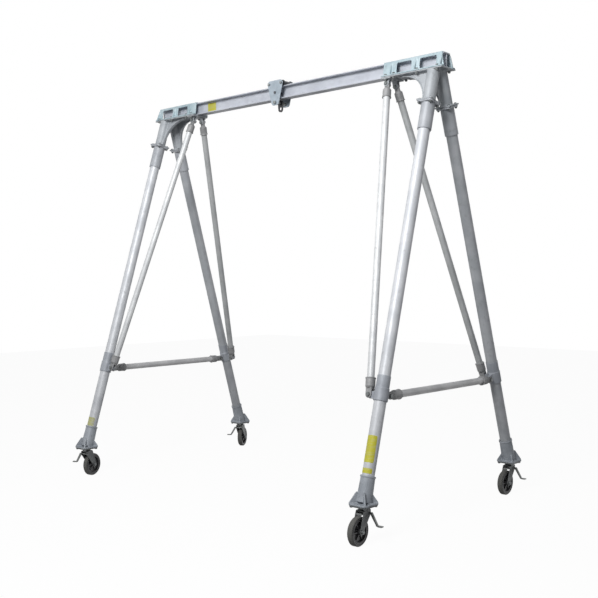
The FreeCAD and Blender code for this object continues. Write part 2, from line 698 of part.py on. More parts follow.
for side, side_x in SIDES:
    # The casting is drawn outboard along +X and turned about Z for the left-hand end.
    body = new_body(f"leg_head_{side}")
    stubs = {}
    for side_y in (-1, 1):
        stub = leg_frame(1, side_y, leg_length)
        stubs[side_y] = stub
        sketch = new_sketch(body, place=stub)
        circle(sketch, 0, 0, size("stub_radius"))
        pad(body, sketch, (base_top - size("head_plane")) * 1.2)
    sketch = new_sketch(body, lift=base_top - size("base_plate") / 2)
    box_outline(sketch, size("head_inner"), -size("head_width"), size("head_outer"),
                size("head_width"))
    cut(body, sketch, size("head_width"), reverse=True)
    sketch = new_sketch(body, lift=base_under)
    box_outline(sketch, size("head_inner"), -half_head, size("head_outer"), half_head)
    pad(body, sketch, size("base_plate"))
    for side_y, stub in stubs.items():
        sketch = new_sketch(body, place=stub)
        joint_outline(sketch, size("joint_square"), size("joint_waist"), size("joint_scallop"))
        pad(body, sketch, size("joint_flange"))
        # Web in the leg plane between stub and base plate, with a thick rim along its curved edge.
        plane = plane_frame(leg_point(1, side_y, leg_length), 1, side_y)
        sheet_plane = plane.multiply(FreeCAD.Placement(
            FreeCAD.Vector(), FreeCAD.Rotation(FreeCAD.Vector(1, 0, 0), 90)))
        roof = (base_under + size("base_plate") / 3 - size("head_plane")) / lean_cos
        start_x, start_y = size("web_side"), size("web_foot")
        curve, rim = size("web_curve"), size("web_rim")
        end_x, end_y = start_x + curve, start_y + curve
        centre = (end_x, start_y)
        sketch = new_sketch(body, place=sheet_plane)
        outline(sketch, ((0, start_y), (start_x, start_y), (end_x, end_y), (size("web_reach"), roof),
                         (0, roof)), {1: (centre, -1)})
        pad(body, sketch, size("web_thickness"), both_ways=True)
        sketch = new_sketch(body, place=sheet_plane)
        outline(sketch, ((start_x - rim, start_y), (start_x, start_y), (end_x, end_y),
                         (end_x, end_y + rim)),
                {1: (centre, -1), 3: (centre, 1)})
        pad(body, sketch, size("web_rim_width"), both_ways=True)
    for side_y, stub in stubs.items():
        sketch = new_sketch(body, place=stub)
        circle(sketch, 0, 0, size("stub_bore"))
        cut(body, sketch, size("stub_bore_depth"), reverse=True)
        sketch = new_sketch(body, place=stub)
        corner_circles(sketch, size("joint_bolts"), size("joint_bolt_radius") + size("bolt_gap"))
        cut(body, sketch, size("joint_flange"), reverse=True)
    lip_holes(body, base_top, size("base_plate"))
    node(body, FreeCAD.Placement(FreeCAD.Vector(), FreeCAD.Rotation(90 - 90 * side_x, 0, 0)))

# ---------------------------------------------------------------- beam caps
cap_top = base_top + size("cap_height")
cap_length = size("cap_outer") - size("head_inner")
for side, side_x in SIDES:
    body = new_body(f"beam_cap_{side}")
    sketch = new_sketch(body, "YZ_Plane", lift=size("head_inner"))
    wide, narrow = size("cap_bottom_half"), size("cap_top_half")
    outline(sketch, ((-wide, base_top), (wide, base_top), (narrow, cap_top), (-narrow, cap_top)))
    pad(body, sketch, cap_length)

    def along_top(start, end):
        return along("x")(start, end) and abs(start.z - cap_top.value) < 1e-6

    fillet(body, size("cap_round"), along_top)
    sketch = new_sketch(body, lift=base_top)
    box_outline(sketch, size("head_inner"), -half_head, size("cap_outer"), half_head)
    pad(body, sketch, size("cap_lip"))
    # Buttress ribs that widen from the roof down to the lips.
    for name in ("rib_inner", "rib_middle", "rib_outer"):
        sketch = new_sketch(body, "YZ_Plane", lift=from_head(name))
        lip = base_top + size("cap_lip")
        top = cap_top - size("cap_round")
        outline(sketch, ((-half_head, base_top), (half_head, base_top), (half_head, lip),
                         (narrow, top), (-narrow, top), (-half_head, lip)))
        pad(body, sketch, size("cap_rib"))
    # Channel for the beam, open below and at both ends.
    sketch = new_sketch(body, "YZ_Plane", lift=size("head_inner"))
    inner_wide, inner_narrow = wide - size("cap_wall"), narrow - size("cap_wall")
    ceiling = beam_top + size("side_gap")
    outline(sketch, ((-inner_wide, base_top), (inner_wide, base_top), (inner_narrow, ceiling),
                     (-inner_narrow, ceiling)))
    cut(body, sketch, cap_length, reverse=True)
    # Two windows in each side wall.
    sketch = new_sketch(body, "XZ_Plane")
    sill, lintel, round_off = (base_top + size("window_low"), base_top + size("window_high"),
                               size("window_corner"))
    for start, end in (("window_inner_start", "window_inner_end"),
                       ("window_outer_start", "window_outer_end")):
        left, right = from_head(start), from_head(end)
        points = ((left + round_off, sill), (right - round_off, sill), (right, sill + round_off),
                  (right, lintel - round_off), (right - round_off, lintel),
                  (left + round_off, lintel), (left, lintel - round_off), (left, sill + round_off))
        corners = ((right - round_off, sill + round_off), (right - round_off, lintel - round_off),
                   (left + round_off, lintel - round_off), (left + round_off, sill + round_off))
        outline(sketch, points, {1 + 2 * number: (corner, 1)
                                 for number, corner in enumerate(corners)})
    cut(body, sketch, size("head_width"), both_ways=True)
    # The outer end leans in towards the roof.
    sketch = new_sketch(body, "XZ_Plane")
    outer, lip = size("cap_outer"), base_top + size("cap_lip")
    outline(sketch, ((outer, lip), (outer + size("cap_slant"), lip),
                     (outer + size("cap_slant"), cap_top + size("cap_lip")),
                     (outer - size("cap_slant"), cap_top + size("cap_lip"))))
    cut(body, sketch, size("head_width"), both_ways=True)
    lip_holes(body, base_top + size("cap_lip"), size("cap_lip"))
    node(body, FreeCAD.Placement(FreeCAD.Vector(), FreeCAD.Rotation(90 - 90 * side_x, 0, 0)))

# ---------------------------------------------------------------- brackets that hold the braces
bracket_under = base_under - size("bracket_plate")
for side, side_x in SIDES:
    body = new_body(f"brace_bracket_{side}")
    sketch = new_sketch(body, lift=bracket_under)
    box_outline(sketch, from_head("bracket_start"), size("bracket_width") / -2,
                from_head("bracket_start") + size("bracket_length"), size("bracket_width") / 2)
    pad(body, sketch, size("bracket_plate"))
    for side_y in (-1, 1):
        pin = plane_point(1, side_y, top_pin_span, top_pin_height)
        ear_plane = plane_frame(pin, 1, side_y).multiply(FreeCAD.Placement(
            FreeCAD.Vector(), FreeCAD.Rotation(FreeCAD.Vector(1, 0, 0), 90)))
        roof = (base_under - top_pin_height) / lean_cos
        reach = size("ear_radius")
        sketch = new_sketch(body, place=ear_plane)
        outline(sketch, ((-reach, 0), (reach, 0), (reach, roof), (-reach, roof)),
                {0: ((0, 0), 1)})
        pad(body, sketch, bracket_fork, both_ways=True)
    for side_y in (-1, 1):
        pin = plane_point(1, side_y, top_pin_span, top_pin_height)
        ear_plane = plane_frame(pin, 1, side_y).multiply(FreeCAD.Placement(
            FreeCAD.Vector(), FreeCAD.Rotation(FreeCAD.Vector(1, 0, 0), 90)))
        tongue_roof = (bracket_under - top_pin_height) / lean_cos - size("side_gap")
        sketch = new_sketch(body, place=ear_plane)
        box_outline(sketch, reach * -2, reach * -2, reach * 2, tongue_roof)
        cut(body, sketch, bracket_slot, both_ways=True)
        sketch = new_sketch(body, place=ear_plane)
        circle(sketch, 0, 0, size("pin_radius") + size("bolt_gap"))
        cut(body, sketch, bracket_fork * 1.5, both_ways=True)
    # The tilted ears are trimmed flush with the top of the plate.
    sketch = new_sketch(body, lift=base_under)
    box_outline(sketch, from_head("bracket_start"), size("bracket_width") / -2,
                from_head("bracket_start") + size("bracket_length"), size("bracket_width") / 2)
    cut(body, sketch, size("bracket_plate"), reverse=True)
    sketch = new_sketch(body, lift=base_under)
    for side_y in (-1, 1):
        circle(sketch, from_head("lip_bolt_inner"), size("lip_bolt_side") * side_y,
               size("lip_bolt_radius") + size("bolt_gap"))
    cut(body, sketch, size("bracket_plate"))
    node(body, FreeCAD.Placement(FreeCAD.Vector(), FreeCAD.Rotation(90 - 90 * side_x, 0, 0)))

# ---------------------------------------------------------------- bolts of heads, joints and feet
clamp_grip = size("cap_lip") + size("base_plate")
lip_bolt = bolt("lip_bolt_master", size("lip_bolt_radius"), clamp_grip)
long_bolt = bolt("long_bolt_master", size("lip_bolt_radius"), clamp_grip + size("bracket_plate"))
head_bolts, flange_places, foot_places = [], [], []
for _, side_x in SIDES:
    for name in LIP_BOLTS:
        for side_y in (-1, 1):
            seat = vector(from_head(name) * side_x, size("lip_bolt_side") * side_y,
                          base_top + size("cap_lip"))
            master = long_bolt if name == "lip_bolt_inner" else lip_bolt
            head_bolts.append(linked(master, FreeCAD.Placement(seat, FLAT)))
group("head_bolts", head_bolts)

for _, side_x, side_y in CORNERS:
    joint = leg_frame(side_x, side_y, leg_length)
    foot = FreeCAD.Placement(leg_point(side_x, side_y, 0), FreeCAD.Rotation(FreeCAD.Vector(1, 0, 0), 180))
    for turn_x, turn_y in ((1, 1), (-1, 1), (-1, -1), (1, -1)):
        side = size("joint_bolts") / math.sqrt(2)
        flange_places.append(joint.multiply(FreeCAD.Placement(
            vector(side * turn_x, side * turn_y, size("joint_flange")), FLAT)))
        side = size("foot_bolts") / math.sqrt(2)
        foot_places.append(foot.multiply(FreeCAD.Placement(
            vector(side * turn_x, side * turn_y, size("top_plate")), FLAT)))
flange_bolt = bolt("flange_bolt_master", size("joint_bolt_radius"), size("joint_flange") * 2)
copies("flange_bolts", flange_bolt, flange_places)
foot_bolt = bolt("foot_bolt_master", size("foot_bolt_radius"),
                 size("top_plate") + size("foot_bolt_depth"), nut_on=False)
copies("foot_bolts", foot_bolt, foot_places)

# ---------------------------------------------------------------- trolley
plate_inside = size("side_plate_half")
plate_outside = plate_inside + size("side_plate")
roller_height = beam_top + size("roller_radius") + size("seat_gap")
side_plate = new_body("side_plate_master")
sketch = new_sketch(side_plate, "XZ_Plane")
outline(sketch, ((-size("plate_bottom_half"), size("side_plate_bottom")),
                 (size("plate_bottom_half"), size("side_plate_bottom")),
                 (size("plate_top_half"), size("side_plate_top")),
                 (-size("plate_top_half"), size("side_plate_top"))))
pad(side_plate, sketch, size("side_plate"), both_ways=True)


guide_height = size("side_plate_top") - size("guide_drop")


def lower_corner(start, end):
    return along("y")(start, end) and start.z < guide_height.value


def upper_corner(start, end):
    return along("y")(start, end) and start.z > guide_height.value


fillet(side_plate, size("plate_bottom_round"), lower_corner)
fillet(side_plate, size("plate_top_round"), upper_corner)
sketch = new_sketch(side_plate, "XZ_Plane")
for side in (-1, 1):
    circle(sketch, size("roller_spacing") * side, roller_height, size("roller_axle") + size("bolt_gap"))
circle(sketch, 0, size("load_pin_height"), size("pin_radius") + size("bolt_gap"))
circle(sketch, 0, guide_height, size("guide_stud") + size("bolt_gap"))
cut(side_plate, sketch, both_ways=True)
plate_side = plate_inside + size("side_plate") / 2
copies("trolley_side_plates", side_plate,
       [FreeCAD.Placement(vector(size("trolley_x"), plate_side * side, 0), FLAT) for side in (-1, 1)])

facing_front = framed(FreeCAD.Vector(), FreeCAD.Vector(1, 0, 0), FreeCAD.Vector(0, -1, 0))
axle_bolt = bolt("trolley_axle_master", size("roller_axle"), plate_outside * 2)
axle_places = [FreeCAD.Placement(vector(size("trolley_x") + size("roller_spacing") * side,
                                        -plate_outside, roller_height), facing_front.Rotation)
               for side in (-1, 1)]

# The load pin carries spacers that keep the lifting eye in the middle.
load_pin = bolt("load_pin", size("pin_radius"), plate_outside * 2)
spacer_end = plate_outside - size("eye_plate") / 2 - size("side_gap")
for lift in (-size("side_plate"), -plate_outside * 2 + size("side_plate") + spacer_end
             - size("side_plate")):
    sketch = new_sketch(load_pin, lift=lift)
    circle(sketch, 0, 0, size("spacer_radius"))
    pad(load_pin, sketch, spacer_end - size("side_plate"), reverse=True)
load_pin.Placement = FreeCAD.Placement(
    vector(size("trolley_x"), -plate_outside, size("load_pin_height")), facing_front.Rotation)
group("trolley_bolts", [load_pin] + [linked(axle_bolt, place) for place in axle_places])

# Side guides: a stud through each plate with a round pad that runs along the beam's web.
guide = new_body("guide_master")
sketch = new_sketch(guide, "XZ_Plane")
pad_face = half_web + size("side_gap") * 4
stud, round_pad = size("guide_stud"), size("guide_radius")
outline(sketch, ((0, pad_face), (round_pad, pad_face), (round_pad, plate_inside - stud),
                 (stud, plate_inside - stud), (stud, plate_outside),
                 (stud * 1.7, plate_outside), (stud * 1.7, plate_outside + stud),
                 (0, plate_outside + stud)))
turn(guide, sketch)
copies("side_guides", guide, [
    framed(vector(size("trolley_x"), 0, guide_height), FreeCAD.Vector(1, 0, 0),
           FreeCAD.Vector(0, side, 0)) for side in (-1, 1)])

for name, side in (("left", -1), ("right", 1)):
    body = new_body(f"trolley_roller_{name}")
    sketch = new_sketch(body, "XZ_Plane")
    bore = size("roller_axle") + size("turning_gap")
    tread = half_width + size("side_gap") * 2
    end = tread + size("roller_rim_width")
    tyre, rim = size("roller_radius"), size("roller_rim")
    outline(sketch, ((bore, -end), (rim, -end), (rim, -tread), (tyre, -tread), (tyre, tread),
                     (rim, tread), (rim, end), (bore, end)))
    turn(body, sketch)
    node(body, FreeCAD.Placement(vector(size("trolley_x") + size("roller_spacing") * side, 0,
                                        roller_height), facing_front.Rotation))

# Lifting eye: a tapered plate that swings on the load pin.
body = new_body("lifting_eye")
sketch = new_sketch(body, "XZ_Plane")
reach, tip, drop = size("eye_half"), size("eye_tip_half"), size("eye_drop")
outline(sketch, ((reach, 0), (-reach, 0), (-tip, tip - drop), (tip, tip - drop)),
        {0: ((0, 0), 1), 2: ((0, tip - drop), 1)})
pad(body, sketch, size("eye_plate"), both_ways=True)
sketch = new_sketch(body, "XZ_Plane")
circle(sketch, 0, 0, size("pin_radius") + size("turning_gap"))
circle(sketch, 0, -size("hook_drop"), size("hook_hole"))
cut(body, sketch, both_ways=True)
node(body, FreeCAD.Placement(vector(size("trolley_x"), 0, size("load_pin_height")), FLAT))

# ---------------------------------------------------------------- casters
# Every caster is drawn with its swivel axis on Z, the floor at Z = 0 and the wheel trailing to +X.
plate_under = size("caster_height") - size("top_plate")
race_under = plate_under - size("race_height")
top_plate = new_body("caster_plate_master")
sketch = new_sketch(top_plate, lift=plate_under)
half = size("top_plate_square") / 2
box_outline(sketch, -half, -half, half, half)
pad(top_plate, sketch, size("top_plate"))
fillet(top_plate, size("top_plate_corner"), plate_corner(size("top_plate_square")))
sketch = new_sketch(top_plate, lift=plate_under)
corner_circles(sketch, size("foot_bolts"), size("foot_bolt_radius") + size("bolt_gap"))
cut(top_plate, sketch, reverse=True)
sketch = new_sketch(top_plate, "XZ_Plane")
nut_top = size("crown_under") - size("seat_gap")
nut_under = nut_top - size("kingpin_nut_height")
kingpin, nut, race = size("kingpin_radius"), size("kingpin_nut"), size("race_radius")
outline(sketch, ((0, nut_under), (nut, nut_under), (nut, nut_top), (kingpin, nut_top),
                 (kingpin, race_under), (race, race_under), (race, plate_under), (0, plate_under)))
turn(top_plate, sketch)

plate_places, axle_height = [], size("wheel_radius")
for corner, side_x, side_y in CORNERS:
    swivel = vector(size("foot_span") * side_x, size("foot_reach") * side_y, 0)
    heading = math.radians(size(f"turn_{corner}").value)
    place = framed(swivel, FreeCAD.Vector(math.cos(heading), math.sin(heading), 0),
                   FreeCAD.Vector(0, 0, 1))
    plate_places.append(FreeCAD.Placement(swivel, FLAT))
    trail = size("caster_trail")
    crown, under = size("crown_top"), size("crown_under")
    shaft_x, shaft_z = -size("brake_shaft_x"), size("brake_shaft_z")

    body = new_body(f"caster_fork_{corner}")
    sketch = new_sketch(body, "XZ_Plane")
    end = size("kingpin_nut") * 1.4
    race = size("race_radius")
    outline(sketch, ((-race, crown), (race, crown), (race + size("fork_plate"), under),
                     (trail + end, axle_height), (trail + end * 0.6, axle_height - end),
                     (trail - end * 0.6, axle_height - end), (trail - end, axle_height),
                     (shaft_x, shaft_z - end * 0.9), (-race, shaft_z - end * 0.4)))
    fork_half = size("fork_inside") + size("fork_plate")
    pad(body, sketch, fork_half * 2, both_ways=True)

    def crown_edge(start, end_point):
        return along("x")(start, end_point) and abs(start.z - crown.value) < 1e-6

    fillet(body, size("fork_plate"), crown_edge)
    sketch = new_sketch(body, "XZ_Plane")
    box_outline(sketch, race * -2, 0, trail * 2, under)
    cut(body, sketch, size("fork_inside") * 2, both_ways=True)
    sketch = new_sketch(body, "XZ_Plane")
    circle(sketch, trail, axle_height, size("axle_radius") + size("bolt_gap"))
    circle(sketch, shaft_x, shaft_z, size("brake_shaft") + size("turning_gap"))
    cut(body, sketch, both_ways=True)
    # Swivel race on the crown, bored for the kingpin.
    sketch = new_sketch(body, "XZ_Plane")
    race_top = race_under - size("seat_gap")
    outline(sketch, ((0, crown - size("fork_plate")), (race, crown - size("fork_plate")),
                     (race, crown), (race - size("fork_plate"), race_top), (0, race_top)))
    turn(body, sketch)
    sketch = new_sketch(body, lift=race_top)
    circle(sketch, 0, 0, size("kingpin_radius") + size("turning_gap"))
    cut(body, sketch)
    node(body, place)

    axle_place = place.multiply(framed(vector(trail, 0, axle_height), FreeCAD.Vector(1, 0, 0),
                                       FreeCAD.Vector(0, -1, 0)))
    body = bolt(f"caster_axle_{corner}", size("axle_radius"), fork_half * 2)
    node(body, axle_place.multiply(FreeCAD.Placement(vector(0, 0, fork_half), FLAT)))

    # Cast wheel core with a hub, a thin web, six ribs and a rim.
    body = new_body(f"wheel_core_{corner}")
    sketch = new_sketch(body, "XZ_Plane")
    hub_half = size("fork_inside") - size("side_gap") * 2
    bore, hub = size("axle_radius") + size("turning_gap"), size("hub_radius")
    rim_half, web_half = size("rim_width") / 2, size("core_web") / 2
    outer, inner = size("tyre_inner"), size("tyre_inner") - size("core_web")
    outline(sketch, ((bore, -hub_half), (hub, -hub_half), (hub, -web_half), (inner, -web_half),
                     (inner, -rim_half), (outer, -rim_half), (outer, rim_half), (inner, rim_half),
                     (inner, web_half), (hub, web_half), (hub, hub_half), (bore, hub_half)))
    turn(body, sketch)
    sketch = new_sketch(body, "XZ_Plane")
    middle = (hub + bore) / 2
    outline(sketch, ((middle, -rim_half), (inner + web_half, -web_half * 2),
                     (inner + web_half, web_half * 2), (middle, rim_half)))
    rib = pad(body, sketch, size("core_web"), both_ways=True)
    polar(body, rib, 6)
    node(body, axle_place)

    body = new_body(f"tyre_{corner}")
    sketch = new_sketch(body, "XZ_Plane")
    tyre_half, outside = size("wheel_width") / 2, size("wheel_radius")
    seat = outer + size("seat_gap") / 2
    shoulder = tyre_half / 3
    outline(sketch, ((seat, -tyre_half + shoulder / 2), (outside - shoulder, -tyre_half),
                     (outside, -tyre_half + shoulder), (outside, tyre_half - shoulder),
                     (outside - shoulder, tyre_half), (seat, tyre_half - shoulder / 2)))
    turn(body, sketch)
    node(body, axle_place)

    # Brake: a cross shaft with an arm and shoe over the tyre, and a lever bent down outside.
    body = new_body(f"brake_pedal_{corner}")
    shaft, width = size("brake_shaft"), size("brake_width")
    sketch = new_sketch(body, "XZ_Plane", lift=-size("lever_start"))
    circle(sketch, 0, 0, shaft)
    pad(body, sketch, size("lever_start") + fork_half + size("side_gap") * 6)
    sketch = new_sketch(body, "XZ_Plane")
    strip, reach, rise = size("brake_sheet"), size("brake_reach"), size("shoe_height")
    outline(sketch, ((0, -strip / 2), (reach, -strip / 2), (reach, rise), (reach - strip, rise),
                     (reach - strip, strip / 2), (0, strip / 2)))
    pad(body, sketch, width, both_ways=True)
    sketch = new_sketch(body, "YZ_Plane")
    edge, drop, bend, tip = size("lever_sheet"), size("lever_drop"), size("lever_bend"), size("lever_tip")
    start = size("lever_start") - edge
    outline(sketch, ((start - edge / 2, shaft), (start + edge, shaft), (bend + edge / 2, edge / 2 - drop),
                     (tip, edge / 2 - drop), (tip, -edge / 2 - drop), (bend - edge / 2, -edge / 2 - drop),
                     (start - edge / 2, -shaft)))
    pad(body, sketch, size("lever_width"), both_ways=True)
    sketch = new_sketch(body, "YZ_Plane")
    box_outline(sketch, bend + edge, -edge / 2 - drop, tip, edge / 4 - drop)
    pad(body, sketch, size("tab_width"), both_ways=True)
    node(body, place.multiply(FreeCAD.Placement(vector(shaft_x, 0, shaft_z), FLAT)))
copies("caster_plates", top_plate, plate_places)

# ---------------------------------------------------------------- checks and export
doc.recompute()
failed = [item.Label for item in doc.Objects if {"Invalid", "Error"} & set(item.State)]
if failed:
    raise RuntimeError(f"these failed: {failed}")
for item in nodes:
    if item.Shape.isNull() or not item.Shape.isValid() or not item.Shape.Solids:
        raise RuntimeError(f"{item.Label} has no sound solid")

os.makedirs("parts", exist_ok=True)
for item in nodes:
    item.Shape.exportStep(f"parts/{item.Label}.step")
print(f"{len(nodes)} nodes, {sum(len(item.Shape.Solids) for item in nodes)} solids")
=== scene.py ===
"""Looks for a portable aluminium gantry crane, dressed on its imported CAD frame.

The sections follow the crane as it is put together: beam, leg heads, legs, braces, casters,
trolley, and last the studio. Everything is in metres: X along the beam, Y across it, Z up.
"""

import json
import math

import bmesh
import bpy
from mathutils import Matrix, Vector


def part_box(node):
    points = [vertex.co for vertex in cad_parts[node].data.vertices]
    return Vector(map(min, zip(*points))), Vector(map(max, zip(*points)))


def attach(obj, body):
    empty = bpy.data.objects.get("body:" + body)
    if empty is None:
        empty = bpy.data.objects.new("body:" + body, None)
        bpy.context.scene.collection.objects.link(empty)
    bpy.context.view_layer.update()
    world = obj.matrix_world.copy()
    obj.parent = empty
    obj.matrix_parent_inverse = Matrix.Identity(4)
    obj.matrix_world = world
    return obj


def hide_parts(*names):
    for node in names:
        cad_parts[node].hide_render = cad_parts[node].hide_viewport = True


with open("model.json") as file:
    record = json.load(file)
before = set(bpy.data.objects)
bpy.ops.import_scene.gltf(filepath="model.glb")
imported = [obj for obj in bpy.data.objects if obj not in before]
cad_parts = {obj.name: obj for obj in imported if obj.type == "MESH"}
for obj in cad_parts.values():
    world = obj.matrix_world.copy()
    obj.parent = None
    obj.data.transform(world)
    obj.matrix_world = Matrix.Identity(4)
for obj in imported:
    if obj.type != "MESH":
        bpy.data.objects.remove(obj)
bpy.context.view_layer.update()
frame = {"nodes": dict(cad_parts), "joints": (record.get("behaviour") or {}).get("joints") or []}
nodes = frame["nodes"]
scene = bpy.context.scene
scene.view_settings.view_transform = "Standard"

# ---------------------------------------------------------------- camera
# Eye level of a person who stands off the right-hand front leg and looks along the crane.
eye_place = Vector((4.914, -5.198, 1.617))
eye_yaw, eye_pitch, eye_roll = (math.radians(a) for a in (132.6125, -1.2048, -0.3908))
forward = Vector((math.cos(eye_pitch) * math.cos(eye_yaw),
                  math.cos(eye_pitch) * math.sin(eye_yaw), math.sin(eye_pitch)))
level_right = Vector((math.sin(eye_yaw), -math.cos(eye_yaw), 0))
level_up = level_right.cross(forward)
right = math.cos(eye_roll) * level_right + math.sin(eye_roll) * level_up
up = math.cos(eye_roll) * level_up - math.sin(eye_roll) * level_right
camera = bpy.data.objects.new("camera", bpy.data.cameras.new("camera"))
camera.data.lens = 54.567
camera.data.sensor_width = 36
camera.data.clip_end = 100
turned = Matrix((right, up, -forward)).transposed().to_4x4()
camera.matrix_world = Matrix.Translation(eye_place) @ turned
scene.collection.objects.link(camera)
scene.camera = camera

# ---------------------------------------------------------------- beam
# A 3 m I-beam extruded in aluminium, left as it comes off the press: satin, with faint
# die lines along its length, soft grey smears from handling and a blank yellow patch.


def shade(red, green, blue):
    """Scene-linear colour of a shade that is given as it looks, 0 to 255."""
    parts = [part / 255 for part in (red, green, blue)]
    return tuple(p / 12.92 if p <= 0.04045 else ((p + 0.055) / 1.055) ** 2.4 for p in parts) + (1,)


def new_group(name, inputs, outputs):
    """A shader group with named value or vector inputs; its noodles are added by the caller."""
    tree = bpy.data.node_groups.new(name, "ShaderNodeTree")
    for label, kind, value in inputs:
        socket = tree.interface.new_socket(label, in_out="INPUT", socket_type=kind)
        if value is not None:
            socket.default_value = value
    for label, kind in outputs:
        tree.interface.new_socket(label, in_out="OUTPUT", socket_type=kind)
    return tree, tree.nodes.new("NodeGroupInput"), tree.nodes.new("NodeGroupOutput")


def noise(tree, vector, scale, detail=3.0, rough=0.55):
    node = tree.nodes.new("ShaderNodeTexNoise")
    node.inputs["Detail"].default_value = detail
    node.inputs["Roughness"].default_value = rough
    if hasattr(scale, "links"):
        tree.links.new(scale, node.inputs["Scale"])
    else:
        node.inputs["Scale"].default_value = scale
    tree.links.new(vector, node.inputs["Vector"])
    return node.outputs["Fac"]


def spread(tree, value, low, high, out_low=0.0, out_high=1.0):
    """Stretches a band of a mask to a new range."""
    node = tree.nodes.new("ShaderNodeMapRange")
    node.interpolation_type = "SMOOTHSTEP"
    for label, number in (("From Min", low), ("From Max", high),
                          ("To Min", out_low), ("To Max", out_high)):
        node.inputs[label].default_value = number
    tree.links.new(value, node.inputs["Value"])
    return node.outputs["Result"]


def maths(tree, kind, first, second):
    node = tree.nodes.new("ShaderNodeMath")
    node.operation = kind
    node.use_clamp = kind in ("ADD", "MULTIPLY")
    for socket, value in zip(node.inputs, (first, second)):
        if hasattr(value, "links"):
            tree.links.new(value, socket)
        else:
            socket.default_value = value
    return node.outputs[0]


def blend_colour(tree, mask, first, second):
    node = tree.nodes.new("ShaderNodeMix")
    node.data_type = "RGBA"
    for socket, value in ((node.inputs[0], mask), (node.inputs[6], first), (node.inputs[7], second)):
        if hasattr(value, "links"):
            tree.links.new(value, socket)
        else:
            socket.default_value = value
    return node.outputs[2]


# Fine lines along the vector's Z: what a die or a drawing bench leaves on the metal.
drawn_lines, lines_in, lines_out = new_group(
    "drawn_lines", (("Vector", "NodeSocketVector", None), ("Pitch", "NodeSocketFloat", 260.0)),
    (("Mask", "NodeSocketFloat"), ("Height", "NodeSocketFloat")))
stretch = drawn_lines.nodes.new("ShaderNodeVectorMath")
stretch.operation = "MULTIPLY"
line_stretch = 0.012
stretch.inputs[1].default_value = (1, 1, line_stretch)
drawn_lines.links.new(lines_in.outputs["Vector"], stretch.inputs[0])
fine = noise(drawn_lines, stretch.outputs[0], lines_in.outputs["Pitch"], detail=2.0)
coarse = noise(drawn_lines, stretch.outputs[0], 38.0, detail=2.0)
drawn_lines.links.new(spread(drawn_lines, coarse, 0.38, 0.66), lines_out.inputs["Mask"])
drawn_lines.links.new(fine, lines_out.inputs["Height"])

# Scuffs, cloudy oxide and grime that any bare metal part picks up in use, and a mottled
# painted shade that darkens the metal towards the ground.
wear_and_shade, wear_and_shade_in, wear_and_shade_out = new_group(
    "wear_and_shade_marks", (("Vector", "NodeSocketVector", None),),
    (("Cloud", "NodeSocketFloat"), ("Scuff", "NodeSocketFloat"), ("Grime", "NodeSocketFloat"),
     ("PaintedLowShade", "NodeSocketFloat")))
clouds = noise(wear_and_shade, wear_and_shade_in.outputs["Vector"], 7.0, detail=4.0, rough=0.6)
blotches = noise(wear_and_shade, wear_and_shade_in.outputs["Vector"], 26.0, detail=5.0, rough=0.65)
scratches = noise(wear_and_shade, wear_and_shade_in.outputs["Vector"], 140.0, detail=4.0, rough=0.7)
wear_and_shade.links.new(spread(wear_and_shade, clouds, 0.34, 0.68), wear_and_shade_out.inputs["Cloud"])
scuff = maths(wear_and_shade, "MULTIPLY", spread(wear_and_shade, scratches, 0.56, 0.7),
              spread(wear_and_shade, blotches, 0.48, 0.62))
wear_and_shade.links.new(scuff, wear_and_shade_out.inputs["Scuff"])
wear_and_shade.links.new(spread(wear_and_shade, blotches, 0.56, 0.74), wear_and_shade_out.inputs["Grime"])
height = wear_and_shade.nodes.new("ShaderNodeSeparateXYZ")
wear_and_shade.links.new(wear_and_shade_in.outputs["Vector"], height.inputs[0])
# Painted shade: between these two heights the metal darkens more and more towards the ground.
low_shade_starts, low_shade_full = 1.8, 0.2
wear_and_shade.links.new(maths(wear_and_shade, "MULTIPLY",
                         spread(wear_and_shade, height.outputs["Z"], low_shade_starts, low_shade_full),
                         spread(wear_and_shade, clouds, 0.2, 0.6, out_low=0.6)), wear_and_shade_out.inputs["PaintedLowShade"])

# Worn and softened edges: a rounded normal, and a mask where it leaves the flat face.
soft_edge, edge_in, edge_out = new_group(
    "soft_edge", (("Radius", "NodeSocketFloat", 0.002),),
    (("Normal", "NodeSocketVector"), ("Mask", "NodeSocketFloat")))
bevel = soft_edge.nodes.new("ShaderNodeBevel")
bevel.samples = 4
soft_edge.links.new(edge_in.outputs["Radius"], bevel.inputs["Radius"])
flat = soft_edge.nodes.new("ShaderNodeNewGeometry")
likeness = soft_edge.nodes.new("ShaderNodeVectorMath")
likeness.operation = "DOT_PRODUCT"
soft_edge.links.new(bevel.outputs["Normal"], likeness.inputs[0])
soft_edge.links.new(flat.outputs["Normal"], likeness.inputs[1])
soft_edge.links.new(spread(soft_edge, likeness.outputs["Value"], 0.99, 0.82), edge_out.inputs["Mask"])
soft_edge.links.new(bevel.outputs["Normal"], edge_out.inputs["Normal"])

# Blasted sand-cast skin: fine pits over low lumps.
cast_skin, skin_in, skin_out = new_group(
    "cast_skin", (("Vector", "NodeSocketVector", None), ("Grain", "NodeSocketFloat", 420.0)),
    (("Mask", "NodeSocketFloat"), ("Height", "NodeSocketFloat")))
pits = noise(cast_skin, skin_in.outputs["Vector"], skin_in.outputs["Grain"], rough=0.7)
lumps = noise(cast_skin, skin_in.outputs["Vector"], 60.0, detail=2.0)
cast_skin.links.new(maths(cast_skin, "ADD", maths(cast_skin, "MULTIPLY", pits, 0.6),
                          maths(cast_skin, "MULTIPLY", lumps, 0.4)), skin_out.inputs["Height"])
cast_skin.links.new(spread(cast_skin, pits, 0.36, 0.62), skin_out.inputs["Mask"])


def place_group(tree, group, **values):
    node = tree.nodes.new("ShaderNodeGroup")
    node.node_tree = group
    for label, value in values.items():
        if hasattr(value, "links"):
            tree.links.new(value, node.inputs[label])
        else:
            node.inputs[label].default_value = value
    return node.outputs


